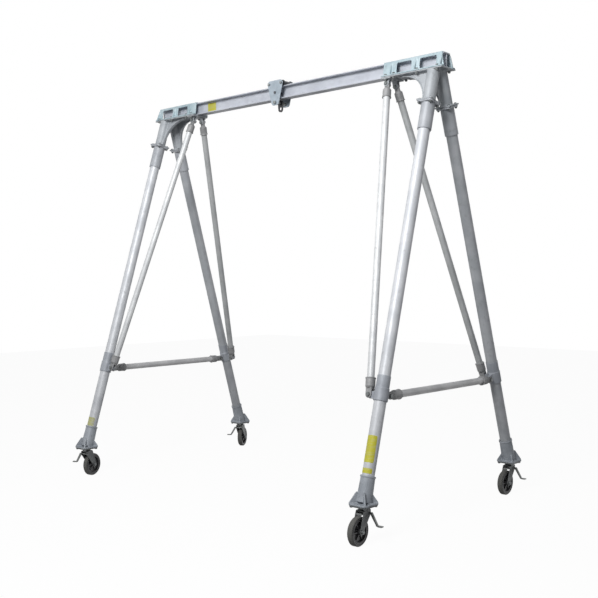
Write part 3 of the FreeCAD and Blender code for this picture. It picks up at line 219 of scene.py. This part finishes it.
def metal(name, light, dark, rough, shine, skin, skin_size, relief, turn=(0, 0, 0), edge=0.0015,
          worn=0.5, dirt=0.25):
    """A bare or plated metal whose skin is a surface group; turn lays the lines along a part.

    light and dark are its cloudy shades, worn the share of bare edge and dirt that of grime.
    """
    # The second colour here is painted shade, laid on the low parts of the metal towards the ground.
    grime, painted_low_shade, painted_low_share, edge_lift = (88, 86, 82), (104, 104, 108), 0.3, 26
    material = bpy.data.materials.new(name)
    material.use_nodes = True
    tree = material.node_tree
    body = tree.nodes["Principled BSDF"]
    body.inputs["Metallic"].default_value = shine
    where = tree.nodes.new("ShaderNodeTexCoord").outputs["Object"]
    lie = tree.nodes.new("ShaderNodeMapping")
    lie.inputs["Rotation"].default_value = turn
    tree.links.new(where, lie.inputs["Vector"])
    marks = place_group(tree, wear_and_shade, Vector=where)
    size_name = "Pitch" if skin is drawn_lines else "Grain"
    surface = place_group(tree, skin, Vector=lie.outputs["Vector"], **{size_name: skin_size})
    rim = place_group(tree, soft_edge, Radius=edge)
    colour = blend_colour(tree, marks["Cloud"], shade(*light), shade(*dark))
    colour = blend_colour(tree, maths(tree, "MULTIPLY", surface["Mask"], 0.35), colour, shade(*dark))
    colour = blend_colour(tree, maths(tree, "MULTIPLY", marks["Grime"], dirt), colour, shade(*grime))
    # Painted shade: the low parts are darkened towards the ground, mottled by the clouds.
    colour = blend_colour(tree, maths(tree, "MULTIPLY", marks["PaintedLowShade"], painted_low_share), colour,
                          shade(*painted_low_shade))
    bright = tuple(min(part + edge_lift, 255) for part in light)
    colour = blend_colour(tree, maths(tree, "MULTIPLY", rim["Mask"], worn), colour, shade(*bright))
    tree.links.new(colour, body.inputs["Base Color"])
    gloss = maths(tree, "ADD", maths(tree, "MULTIPLY", marks["Cloud"], 0.12), rough - 0.06)
    gloss = maths(tree, "ADD", gloss, maths(tree, "MULTIPLY", marks["Scuff"], 0.15))
    tree.links.new(gloss, body.inputs["Roughness"])
    bump = tree.nodes.new("ShaderNodeBump")
    bump.inputs["Strength"].default_value = 0.6
    bump.inputs["Distance"].default_value = relief
    tree.links.new(surface["Height"], bump.inputs["Height"])
    tree.links.new(rim["Normal"], bump.inputs["Normal"])
    tree.links.new(bump.outputs["Normal"], body.inputs["Normal"])
    return material


def dress(material, *names):
    """Puts a finish on CAD nodes in place of the plain one that they came with."""
    for name in names:
        mesh = nodes[name].data
        mesh.materials.clear()
        mesh.materials.append(material)


def bake(piece):
    """Turns what the modifiers make of a piece into its own plain mesh, and drops them."""
    made = bpy.data.meshes.new_from_object(piece.evaluated_get(bpy.context.evaluated_depsgraph_get()))
    piece.modifiers.clear()
    piece.data = made


def settle(piece, body, material):
    """Gives a finished piece its metal and its body."""
    piece.data.materials.clear()
    piece.data.materials.append(material)
    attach(piece, body)


def new_piece(name, points, faces):
    mesh = bpy.data.meshes.new(name)
    mesh.from_pydata(points, [], faces)
    piece = bpy.data.objects.new(name, mesh)
    scene.collection.objects.link(piece)
    return piece


def sticker(name, place, material, columns, rows, corner, width_by_height):
    """A thin blank sheet stuck on the metal: place(u, v, lift) maps its unit square to the part.

    corner is the radius of its corners as a share of its height; one of them curls up a little.
    """
    lift, film, curl_from, curl_rise = 0.0001, 0.0003, 1.7, 6
    points, faces = [], []
    for row in range(rows + 1):
        v = row / rows
        near = min(v, 1 - v) / corner
        inset = 0 if near >= 1 else 1 - math.sqrt(1 - (1 - near) ** 2)
        inset *= corner / width_by_height
        for column in range(columns + 1):
            u = inset + (1 - 2 * inset) * column / columns
            curl = max(0, u + v - curl_from) ** 2 * curl_rise
            points.append(place(u, v, lift * (1 + curl)))
    stride = columns + 1
    for row in range(rows):
        for column in range(columns):
            first = row * stride + column
            faces.append((first, first + 1, first + 1 + stride, first + stride))
    piece = new_piece(name, points, faces)
    skin = piece.modifiers.new("sheet", "SOLIDIFY")
    skin.thickness, skin.offset = film, 1
    bake(piece)
    settle(piece, "frame", material)


def sticker_film(name, light, dark, fade):
    """Blank yellow film that has gone chalky, with rubbed streaks and a dirty rim."""
    material = bpy.data.materials.new(name)
    material.use_nodes = True
    tree = material.node_tree
    body = tree.nodes["Principled BSDF"]
    body.inputs["Roughness"].default_value = 0.5
    where = tree.nodes.new("ShaderNodeTexCoord").outputs["Object"]
    marks = place_group(tree, wear_and_shade, Vector=where)
    streak = tree.nodes.new("ShaderNodeVectorMath")
    streak.operation = "MULTIPLY"
    streak.inputs[1].default_value = (1, 1, 9)
    tree.links.new(where, streak.inputs[0])
    streaks = noise(tree, streak.outputs[0], 11.0, detail=4.0, rough=0.65)
    rubbed = spread(tree, streaks, 0.42, 0.66)
    colour = blend_colour(tree, marks["Cloud"], shade(*light), shade(*dark))
    colour = blend_colour(tree, maths(tree, "MULTIPLY", rubbed, fade), colour, shade(196, 197, 186))
    colour = blend_colour(tree, maths(tree, "MULTIPLY", marks["Scuff"], 0.5), colour, shade(120, 116, 84))
    tree.links.new(colour, body.inputs["Base Color"])
    bump = tree.nodes.new("ShaderNodeBump")
    bump.inputs["Strength"].default_value = 0.4
    bump.inputs["Distance"].default_value = 0.0003
    tree.links.new(rubbed, bump.inputs["Height"])
    tree.links.new(bump.outputs["Normal"], body.inputs["Normal"])
    return material


along_beam = (0, math.pi / 2, 0)
beam_metal = metal("extruded_beam", (202, 206, 214), (184, 188, 197), rough=0.48, shine=0.1,
                   skin=drawn_lines, skin_size=260.0, relief=0.0004, turn=along_beam, edge=0.002)
dress(beam_metal, "beam")
yellow_film = sticker_film("yellow_film", (203, 199, 62), (186, 180, 44), 0.25)
beam_low, beam_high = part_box("beam")
web_front, flange = -0.003, 0.008
patch_start, patch_width, patch_margin = -0.903, 0.1, 0.007
patch_foot = beam_low.z + flange + patch_margin
patch_head = beam_high.z - flange - patch_margin


def on_web(u, v, lift):
    return (patch_start + patch_width * u, web_front - lift,
            patch_foot + (patch_head - patch_foot) * v)


sticker("beam_patch", on_web, yellow_film, columns=24, rows=18, corner=0.06, width_by_height=1.4)

# ---------------------------------------------------------------- leg heads and beam caps
# Sand-cast aluminium: the head with two raked stubs and webs bolts up under the beam, and a
# ribbed cap with windows bolts down over it. The caps were cast in a paler, bluer metal.
cap_metal = metal("pale_cast_cap", (196, 212, 218), (164, 184, 192), rough=0.5, shine=0.12,
                  skin=cast_skin, skin_size=420.0, relief=0.0009, edge=0.003, worn=0.6)
head_metal = metal("cast_head", (188, 192, 196), (162, 167, 172), rough=0.52, shine=0.12,
                   skin=cast_skin, skin_size=420.0, relief=0.0009, edge=0.003)


def cast_round(name, body, material, cell, passes, share):
    """A CAD casting with the soft corners of the foundry: rebuilt in even cells and smoothed.

    cell is the cells' size, passes how often they are smoothed, share the faces that are kept.
    """
    mesh = nodes[name].data.copy()
    work = bmesh.new()
    work.from_mesh(mesh)
    bmesh.ops.remove_doubles(work, verts=work.verts, dist=1e-6)
    work.to_mesh(mesh)
    work.free()
    piece = bpy.data.objects.new(f"{name}_cast", mesh)
    scene.collection.objects.link(piece)
    cells = piece.modifiers.new("cells", "REMESH")
    cells.mode, cells.voxel_size, cells.use_smooth_shade = "VOXEL", cell, True
    soften = piece.modifiers.new("soften", "SMOOTH")
    soften.factor, soften.iterations = 0.5, passes
    thin = piece.modifiers.new("thin", "DECIMATE")
    thin.ratio = share
    bake(piece)
    piece.data.shade_smooth()
    settle(piece, body, material)
    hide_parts(name)


for side in ("right", "left"):
    cast_round(f"beam_cap_{side}", "frame", cap_metal,
               cell=0.0026, passes=6, share=0.4)
    cast_round(f"leg_head_{side}", "frame", head_metal,
               cell=0.0028, passes=6, share=0.4)
    dress(head_metal, f"brace_bracket_{side}")

# ---------------------------------------------------------------- legs
# Drawn aluminium tube in cast sleeves and sockets. Each tube's drawing lines run up its own
# raked axis, so each has its own lay of the same finish.
CORNERS = (("right_front", 1, -1), ("right_rear", 1, 1),
           ("left_front", -1, -1), ("left_rear", -1, 1))
LEG_FOOT = (1.465, 0.879, 0.24)
LEG_RISE = (-0.039, -0.769, 2.56)
LEG_RADIUS = 0.04


def rise(side_x, side_y):
    """Direction in which a leg's axis leans inwards and up."""
    along_x, along_y, along_z = LEG_RISE
    return Vector((along_x * side_x, along_y * side_y, along_z)).normalized()


def lay_along(axis):
    """Mapping turn that brings a direction to Z, so that lines run along it."""
    return axis.normalized().rotation_difference(Vector((0, 0, 1))).to_euler("XYZ")


# The front legs get pale shades as painted light and the rear legs darker ones as painted shade, for the
# light that falls from the front and above.
front_lit_tube, rear_shaded_tube = ((226, 228, 232), (208, 211, 216)), ((190, 193, 197), (170, 174, 179))
for corner, side_x, side_y in CORNERS:
    light, dark = front_lit_tube if side_y < 0 else rear_shaded_tube
    dress(metal(f"drawn_leg_{corner}", light, dark, rough=0.46, shine=0.12, skin=drawn_lines,
                skin_size=300.0, relief=0.0003, turn=lay_along(rise(side_x, side_y))),
          f"leg_tube_{corner}")
sleeve_metal = metal("cast_sleeve", (188, 191, 196), (166, 170, 176), rough=0.5, shine=0.12,
                     skin=cast_skin, skin_size=500.0, relief=0.0006, edge=0.003)
foot_metal = metal("cast_foot", (184, 190, 197), (156, 163, 171), rough=0.52, shine=0.12,
                   skin=cast_skin, skin_size=380.0, relief=0.001, edge=0.004, dirt=0.4)
collar_metal = metal("cast_collar", (180, 185, 192), (158, 163, 171), rough=0.5, shine=0.12,
                     skin=cast_skin, skin_size=420.0, relief=0.0008, edge=0.003)
for corner, _, _ in CORNERS:
    cast_round(f"leg_sleeve_{corner}", "frame", sleeve_metal,
               cell=0.0022, passes=5, share=0.4)
    cast_round(f"foot_socket_{corner}", "frame", foot_metal,
               cell=0.0022, passes=5, share=0.5)
for side in ("right", "left"):
    cast_round(f"leg_collars_{side}", "frame", collar_metal,
               cell=0.0024, passes=5, share=0.5)

# Blank patches low on the two front legs; the left one has all but rubbed off.
faded_film = sticker_film("faded_film", (190, 190, 120), (176, 176, 140), 0.85)


def round_leg(side_x, start, length, turn_from, turn_to):
    """Maps a unit square onto a front leg tube, between two distances up it and two bearings."""
    up_leg = rise(side_x, -1)
    foot_x, foot_y, foot_z = LEG_FOOT
    foot = Vector((foot_x * side_x, -foot_y, foot_z))
    across = Vector((1, 0, 0)) - up_leg * up_leg.x
    across.normalize()
    back = up_leg.cross(across)

    def place(u, v, lift):
        bearing = math.radians(turn_from + (turn_to - turn_from) * u)
        out = across * math.cos(bearing) + back * math.sin(bearing)
        return foot + up_leg * (start + length * v) + out * (LEG_RADIUS + lift)

    return place


sticker("leg_patch_long", round_leg(1, start=0.256, length=0.167, turn_from=-140, turn_to=-24),
        yellow_film, columns=30, rows=20, corner=0.03, width_by_height=0.5)
sticker("leg_patch_short", round_leg(1, start=0.189, length=0.032, turn_from=-140, turn_to=-24),
        yellow_film, columns=30, rows=6, corner=0.1, width_by_height=2.5)
sticker("leg_patch_faded", round_leg(-1, start=0.179, length=0.07, turn_from=-130, turn_to=-20),
        faded_film, columns=30, rows=10, corner=0.06, width_by_height=1.1)

# ---------------------------------------------------------------- braces and cross tubes
# Thinner drawn aluminium tube with cast ends: forks at the collars below, eyes under the beam
# above, each held by one bolt. The front pair is painted paler as painted light, the rear pair darker as
# painted shade.
front_lit_rod, rear_shaded_rod = ((232, 234, 235), (216, 218, 220)), ((196, 198, 199), (176, 179, 180))
for corner, side_x, side_y in CORNERS:
    low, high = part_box(f"brace_tube_{corner}")
    slope = Vector((-side_x * (high.x - low.x), -side_y * (high.y - low.y), high.z - low.z))
    light, dark = front_lit_rod if side_y < 0 else rear_shaded_rod
    dress(metal(f"drawn_brace_{corner}", light, dark, rough=0.46, shine=0.12, skin=drawn_lines,
                skin_size=340.0, relief=0.0003, turn=lay_along(slope)), f"brace_tube_{corner}")
across_crane = (math.pi / 2, 0, 0)
cross_metal = metal("drawn_cross_tube", (220, 220, 221), (200, 200, 202), rough=0.38, shine=0.18,
                    skin=drawn_lines, skin_size=340.0, relief=0.0003, turn=across_crane)
dress(cross_metal, "cross_tube_right", "cross_tube_left")
end_metal = metal("cast_rod_end", (172, 172, 173), (146, 147, 148), rough=0.52, shine=0.12,
                  skin=cast_skin, skin_size=460.0, relief=0.0008, edge=0.0025)
for name in ("fork_ends", "eye_ends"):
    cast_round(name, "frame", end_metal, cell=0.002, passes=4, share=0.5)
bolt_metal = metal("zinc_bolt", (138, 142, 142), (104, 108, 108), rough=0.4, shine=0.7,
                   skin=cast_skin, skin_size=700.0, relief=0.0002, edge=0.0008, dirt=0.4)
dress(bolt_metal, "rod_pins", "head_bolts", "flange_bolts", "foot_bolts", "trolley_bolts")

# ---------------------------------------------------------------- washers
# Zinc-plated steel washers, one under the head and one under the nut of each flange bolt and
# one under the head of each foot bolt: rings set on the seats that the bolts themselves give.


def new_tree(name, inputs):
    """A geometry tree with named inputs; returns it with its input and output nodes."""
    tree = bpy.data.node_groups.new(name, "GeometryNodeTree")
    tree.interface.new_socket("Geometry", in_out="INPUT", socket_type="NodeSocketGeometry")
    for label, kind in inputs:
        tree.interface.new_socket(label, in_out="INPUT", socket_type=kind)
    tree.interface.new_socket("Geometry", in_out="OUTPUT", socket_type="NodeSocketGeometry")
    return tree, tree.nodes.new("NodeGroupInput"), tree.nodes.new("NodeGroupOutput")


def grow(piece, tree, **values):
    """Runs a geometry tree on a piece with its inputs set by socket identifier, and bakes it."""
    modifier = piece.modifiers.new(tree.name, "NODES")
    modifier.node_group = tree
    for item in tree.interface.items_tree:
        if item.in_out == "INPUT" and item.name in values:
            modifier[item.identifier] = values[item.name]
    bake(piece)


ring_tree, ring_in, ring_out = new_tree("washer_rings", (
    ("Outer", "NodeSocketFloat"), ("Bore", "NodeSocketFloat"), ("Thickness", "NodeSocketFloat"),
    ("Metal", "NodeSocketMaterial")))
add, join = ring_tree.nodes.new, ring_tree.links.new
given = ring_in.outputs
mid_radius = maths(ring_tree, "MULTIPLY", maths(ring_tree, "ADD", given["Outer"], given["Bore"]), 0.5)
hoop = add("GeometryNodeCurvePrimitiveCircle")
hoop.inputs["Resolution"].default_value = 28
join(mid_radius, hoop.inputs["Radius"])
section = add("GeometryNodeCurvePrimitiveQuadrilateral")
width = add("ShaderNodeMath")
width.operation = "SUBTRACT"
join(given["Outer"], width.inputs[0])
join(given["Bore"], width.inputs[1])
join(width.outputs[0], section.inputs["Width"])
join(given["Thickness"], section.inputs["Height"])
ring = add("GeometryNodeCurveToMesh")
join(hoop.outputs["Curve"], ring.inputs["Curve"])
join(section.outputs["Curve"], ring.inputs["Profile Curve"])
lie = add("GeometryNodeInputNamedAttribute")
lie.data_type = "FLOAT_VECTOR"
lie.inputs["Name"].default_value = "lie"
stand = add("FunctionNodeAlignRotationToVector")
join(lie.outputs["Attribute"], stand.inputs["Vector"])
spots = add("GeometryNodeInstanceOnPoints")
join(given["Geometry"], spots.inputs["Points"])
join(ring.outputs["Mesh"], spots.inputs["Instance"])
join(stand.outputs["Rotation"], spots.inputs["Rotation"])
solid = add("GeometryNodeRealizeInstances")
join(spots.outputs["Instances"], solid.inputs["Geometry"])
finish = add("GeometryNodeSetMaterial")
join(solid.outputs["Geometry"], finish.inputs["Geometry"])
join(given["Metal"], finish.inputs["Material"])
join(finish.outputs["Geometry"], ring_out.inputs["Geometry"])


BOLT_SHANK = 0.005
WASHER_OUTER, WASHER_BORE, WASHER_THICK = 0.0105, 0.0052, 0.0016


def bolt_seats(name, axis_of, with_nuts):
    """Where the heads, and if asked the nuts, of a node's bolts bear, and each bolt's direction."""
    past_shank = BOLT_SHANK * 1.25
    work = bmesh.new()
    work.from_mesh(nodes[name].data)
    bmesh.ops.remove_doubles(work, verts=work.verts, dist=1e-6)
    left, seats = set(work.verts), []
    while left:
        bolt, edge_of = set(), [left.pop()]
        while edge_of:
            corner = edge_of.pop()
            bolt.add(corner)
            near = {edge.other_vert(corner) for edge in corner.link_edges} & left
            left -= near
            edge_of.extend(near)
        middle = sum((corner.co for corner in bolt), Vector()) / len(bolt)
        axis = axis_of(middle)
        wide = []
        for corner in bolt:
            along = (corner.co - middle).dot(axis)
            if (corner.co - middle - axis * along).length > past_shank:
                wide.append(along)
        halfway = (min(wide) + max(wide)) / 2 if with_nuts else min(wide) - 1
        head = [reach for reach in wide if reach > halfway]
        seats.append((middle + axis * (min(head) + WASHER_THICK / 2), axis))
        if with_nuts:
            nut = [reach for reach in wide if reach <= halfway]
            seats.append((middle + axis * (max(nut) - WASHER_THICK / 2), axis))
    work.free()
    return seats


def washers(name, seats):
    """One ring on each seat, lying across its bolt."""
    piece = new_piece(name, [tuple(seat) for seat, _ in seats], [])
    lies = piece.data.attributes.new("lie", "FLOAT_VECTOR", "POINT")
    for spot, (_, axis) in zip(lies.data, seats):
        spot.vector = axis
    grow(piece, ring_tree, Outer=WASHER_OUTER, Bore=WASHER_BORE, Thickness=WASHER_THICK,
         Metal=bolt_metal)
    settle(piece, "frame", bolt_metal)


def leg_axis(spot):
    """Direction of the leg that a spot belongs to."""
    return rise(math.copysign(1, spot.x), math.copysign(1, spot.y))


def straight_down(_spot):
    return Vector((0, 0, -1))


washers("flange_washers", bolt_seats("flange_bolts", leg_axis, with_nuts=True))
washers("foot_washers", bolt_seats("foot_bolts", straight_down, with_nuts=False))

# ---------------------------------------------------------------- casters
# Swivel casters with zinc-plated pressed-steel forks, black cast wheels with rubber tyres, and
# a bent steel lever on each that is trodden down to press its shoe on the tread.
fork_metal = metal("caster_zinc", (98, 102, 100), (70, 73, 72), rough=0.42, shine=0.6,
                   skin=cast_skin, skin_size=600.0, relief=0.0003, edge=0.002, dirt=0.4)
wheel_metal = metal("black_wheel", (11, 11, 13), (5, 5, 6), rough=0.3, shine=0.0,
                    skin=cast_skin, skin_size=300.0, relief=0.0008, edge=0.002, worn=0.25)


def tyre_rubber(corner):
    """Black rubber, shiny on the sides and dusty grey where it rolls, centred on its own axle."""
    spin = next(joint for joint in frame["joints"] if joint["name"] == f"wheel_spin_{corner}")
    centre, axle = Vector(spin["pos_m"]), Vector(spin["axis"])
    material = bpy.data.materials.new(f"tyre_rubber_{corner}")
    material.use_nodes = True
    tree = material.node_tree
    body = tree.nodes["Principled BSDF"]
    where = tree.nodes.new("ShaderNodeTexCoord").outputs["Object"]
    turn = axle.rotation_difference(Vector((0, 0, 1)))
    lie = tree.nodes.new("ShaderNodeMapping")
    lie.inputs["Rotation"].default_value = turn.to_euler("XYZ")
    lie.inputs["Location"].default_value = -(turn @ centre)
    tree.links.new(where, lie.inputs["Vector"])
    flatten = tree.nodes.new("ShaderNodeVectorMath")
    flatten.operation = "MULTIPLY"
    flatten.inputs[1].default_value = (1, 1, 0)
    tree.links.new(lie.outputs["Vector"], flatten.inputs[0])
    radius = tree.nodes.new("ShaderNodeVectorMath")
    radius.operation = "LENGTH"
    tree.links.new(flatten.outputs[0], radius.inputs[0])
    marks = place_group(tree, wear_and_shade, Vector=where)
    grit = place_group(tree, cast_skin, Vector=where, Grain=700.0)
    side_ends, tread_starts = 0.0845, 0.0885
    tread = spread(tree, radius.outputs["Value"], side_ends, tread_starts)
    rubber = blend_colour(tree, marks["Grime"], shade(26, 26, 28), shade(46, 46, 46))
    dust = blend_colour(tree, grit["Mask"], shade(112, 112, 108), shade(82, 82, 80))
    dust = blend_colour(tree, marks["Cloud"], dust, shade(94, 93, 90))
    tree.links.new(blend_colour(tree, tread, rubber, dust), body.inputs["Base Color"])
    tree.links.new(spread(tree, tread, 0, 1, out_low=0.42, out_high=0.85), body.inputs["Roughness"])
    bump = tree.nodes.new("ShaderNodeBump")
    bump.inputs["Strength"].default_value = 0.5
    bump.inputs["Distance"].default_value = 0.0004
    tree.links.new(grit["Height"], bump.inputs["Height"])
    tree.links.new(bump.outputs["Normal"], body.inputs["Normal"])
    return material


pedal_metal = metal("pedal_steel", (150, 153, 150), (112, 115, 113), rough=0.4, shine=0.6,
                    skin=cast_skin, skin_size=600.0, relief=0.0003)
dress(fork_metal, "caster_plates")
for corner, _, _ in CORNERS:
    cast_round(f"caster_fork_{corner}", f"swivel_{corner}", fork_metal,
               cell=0.0014, passes=3, share=0.4)
    dress(bolt_metal, f"caster_axle_{corner}")
    dress(wheel_metal, f"wheel_core_{corner}")
    dress(tyre_rubber(corner), f"tyre_{corner}")
    dress(pedal_metal, f"brake_pedal_{corner}")

# ---------------------------------------------------------------- trolley
# Two zinc-plated steel side plates joined under the beam, with turned flanged rollers inside
# them. A forged eye swings on the load pin; its dark colour is painted shade.
plate_metal = metal("trolley_zinc", (176, 188, 198), (152, 164, 174), rough=0.42, shine=0.2,
                    skin=cast_skin, skin_size=520.0, relief=0.0004, edge=0.002)
roller_metal = metal("trolley_roller_steel", (92, 94, 98), (66, 68, 72), rough=0.35, shine=0.8,
                     skin=cast_skin, skin_size=600.0, relief=0.0002)
# Painted shade: the eye's metal is coloured dark for the shade that it hangs in.
shaded_eye_metal = metal("forged_eye_painted_shade", (84, 84, 86), (58, 58, 60), rough=0.45, shine=0.6,
                  skin=cast_skin, skin_size=420.0, relief=0.0005)
dress(plate_metal, "trolley_side_plates")
dress(roller_metal, "side_guides", "trolley_roller_left", "trolley_roller_right")
dress(shaded_eye_metal, "lifting_eye")

# ---------------------------------------------------------------- studio
# A pale floor and backdrop that show white, one broad lamp high in front of the right-hand
# legs, a faint one on the left and a weak fill. The floor gives little light back, so
# undersides stay dark.


def seen_ray(tree):
    """1 for the rays that see the backdrop: straight, mirrored or through glass."""
    path = tree.nodes.new("ShaderNodeLightPath").outputs
    seen = maths(tree, "MAXIMUM", path["Is Camera Ray"], path["Is Glossy Ray"])
    return maths(tree, "MAXIMUM", seen, path["Is Transmission Ray"])


world = bpy.data.worlds.new("studio_air")
world.use_nodes = True
scene.world = world
air = world.node_tree
backdrop = air.nodes["Background"]
backdrop.inputs["Color"].default_value = (1, 1, 1, 1)
fill = air.nodes.new("ShaderNodeBackground")
fill.inputs["Color"].default_value = shade(232, 236, 240)
fill.inputs["Strength"].default_value = 0.2
choice = air.nodes.new("ShaderNodeMixShader")
air.links.new(seen_ray(air), choice.inputs[0])
air.links.new(fill.outputs[0], choice.inputs[1])
air.links.new(backdrop.outputs[0], choice.inputs[2])
air.links.new(choice.outputs[0], air.nodes["World Output"].inputs["Surface"])

half_floor = 14
floor_mesh = bpy.data.meshes.new("floor")
floor_mesh.from_pydata([(-half_floor, -half_floor, 0), (half_floor, -half_floor, 0),
                        (half_floor, half_floor, 0), (-half_floor, half_floor, 0)], [], [(0, 1, 2, 3)])
floor = bpy.data.objects.new("floor", floor_mesh)
scene.collection.objects.link(floor)
floor_finish = bpy.data.materials.new("studio_floor")
floor_finish.use_nodes = True
tree = floor_finish.node_tree
tree.nodes.remove(tree.nodes["Principled BSDF"])
glow = tree.nodes.new("ShaderNodeEmission")
matt = tree.nodes.new("ShaderNodeBsdfDiffuse")
matt.inputs["Color"].default_value = (0.9, 0.9, 0.9, 1)
white = tree.nodes.new("ShaderNodeMixShader")
white.inputs[0].default_value = 0.04
tree.links.new(glow.outputs[0], white.inputs[1])
tree.links.new(matt.outputs[0], white.inputs[2])
dull = tree.nodes.new("ShaderNodeBsdfDiffuse")
dull.inputs["Color"].default_value = (0.2, 0.2, 0.2, 1)
choice = tree.nodes.new("ShaderNodeMixShader")
tree.links.new(seen_ray(tree), choice.inputs[0])
tree.links.new(dull.outputs[0], choice.inputs[1])
tree.links.new(white.outputs[0], choice.inputs[2])
tree.links.new(choice.outputs[0], tree.nodes["Material Output"].inputs["Surface"])
floor_mesh.materials.append(floor_finish)


def lamp(name, place, target, across, power):
    """A round lamp of the given width, turned to its target."""
    light = bpy.data.lights.new(name, "AREA")
    light.shape = "DISK"
    light.size = across
    light.energy = power
    holder = bpy.data.objects.new(name, light)
    holder.location = place
    holder.rotation_euler = (Vector(target) - Vector(place)).to_track_quat("-Z", "Y").to_euler()
    scene.collection.objects.link(holder)


lamp("key_lamp", place=(1.9, -5.2, 5.0), target=(0.2, 0, 1.9), across=2.4, power=325)
lamp("side_lamp", place=(-3.6, -3.4, 4.6), target=(0, 0, 1.9), across=2.0, power=18)
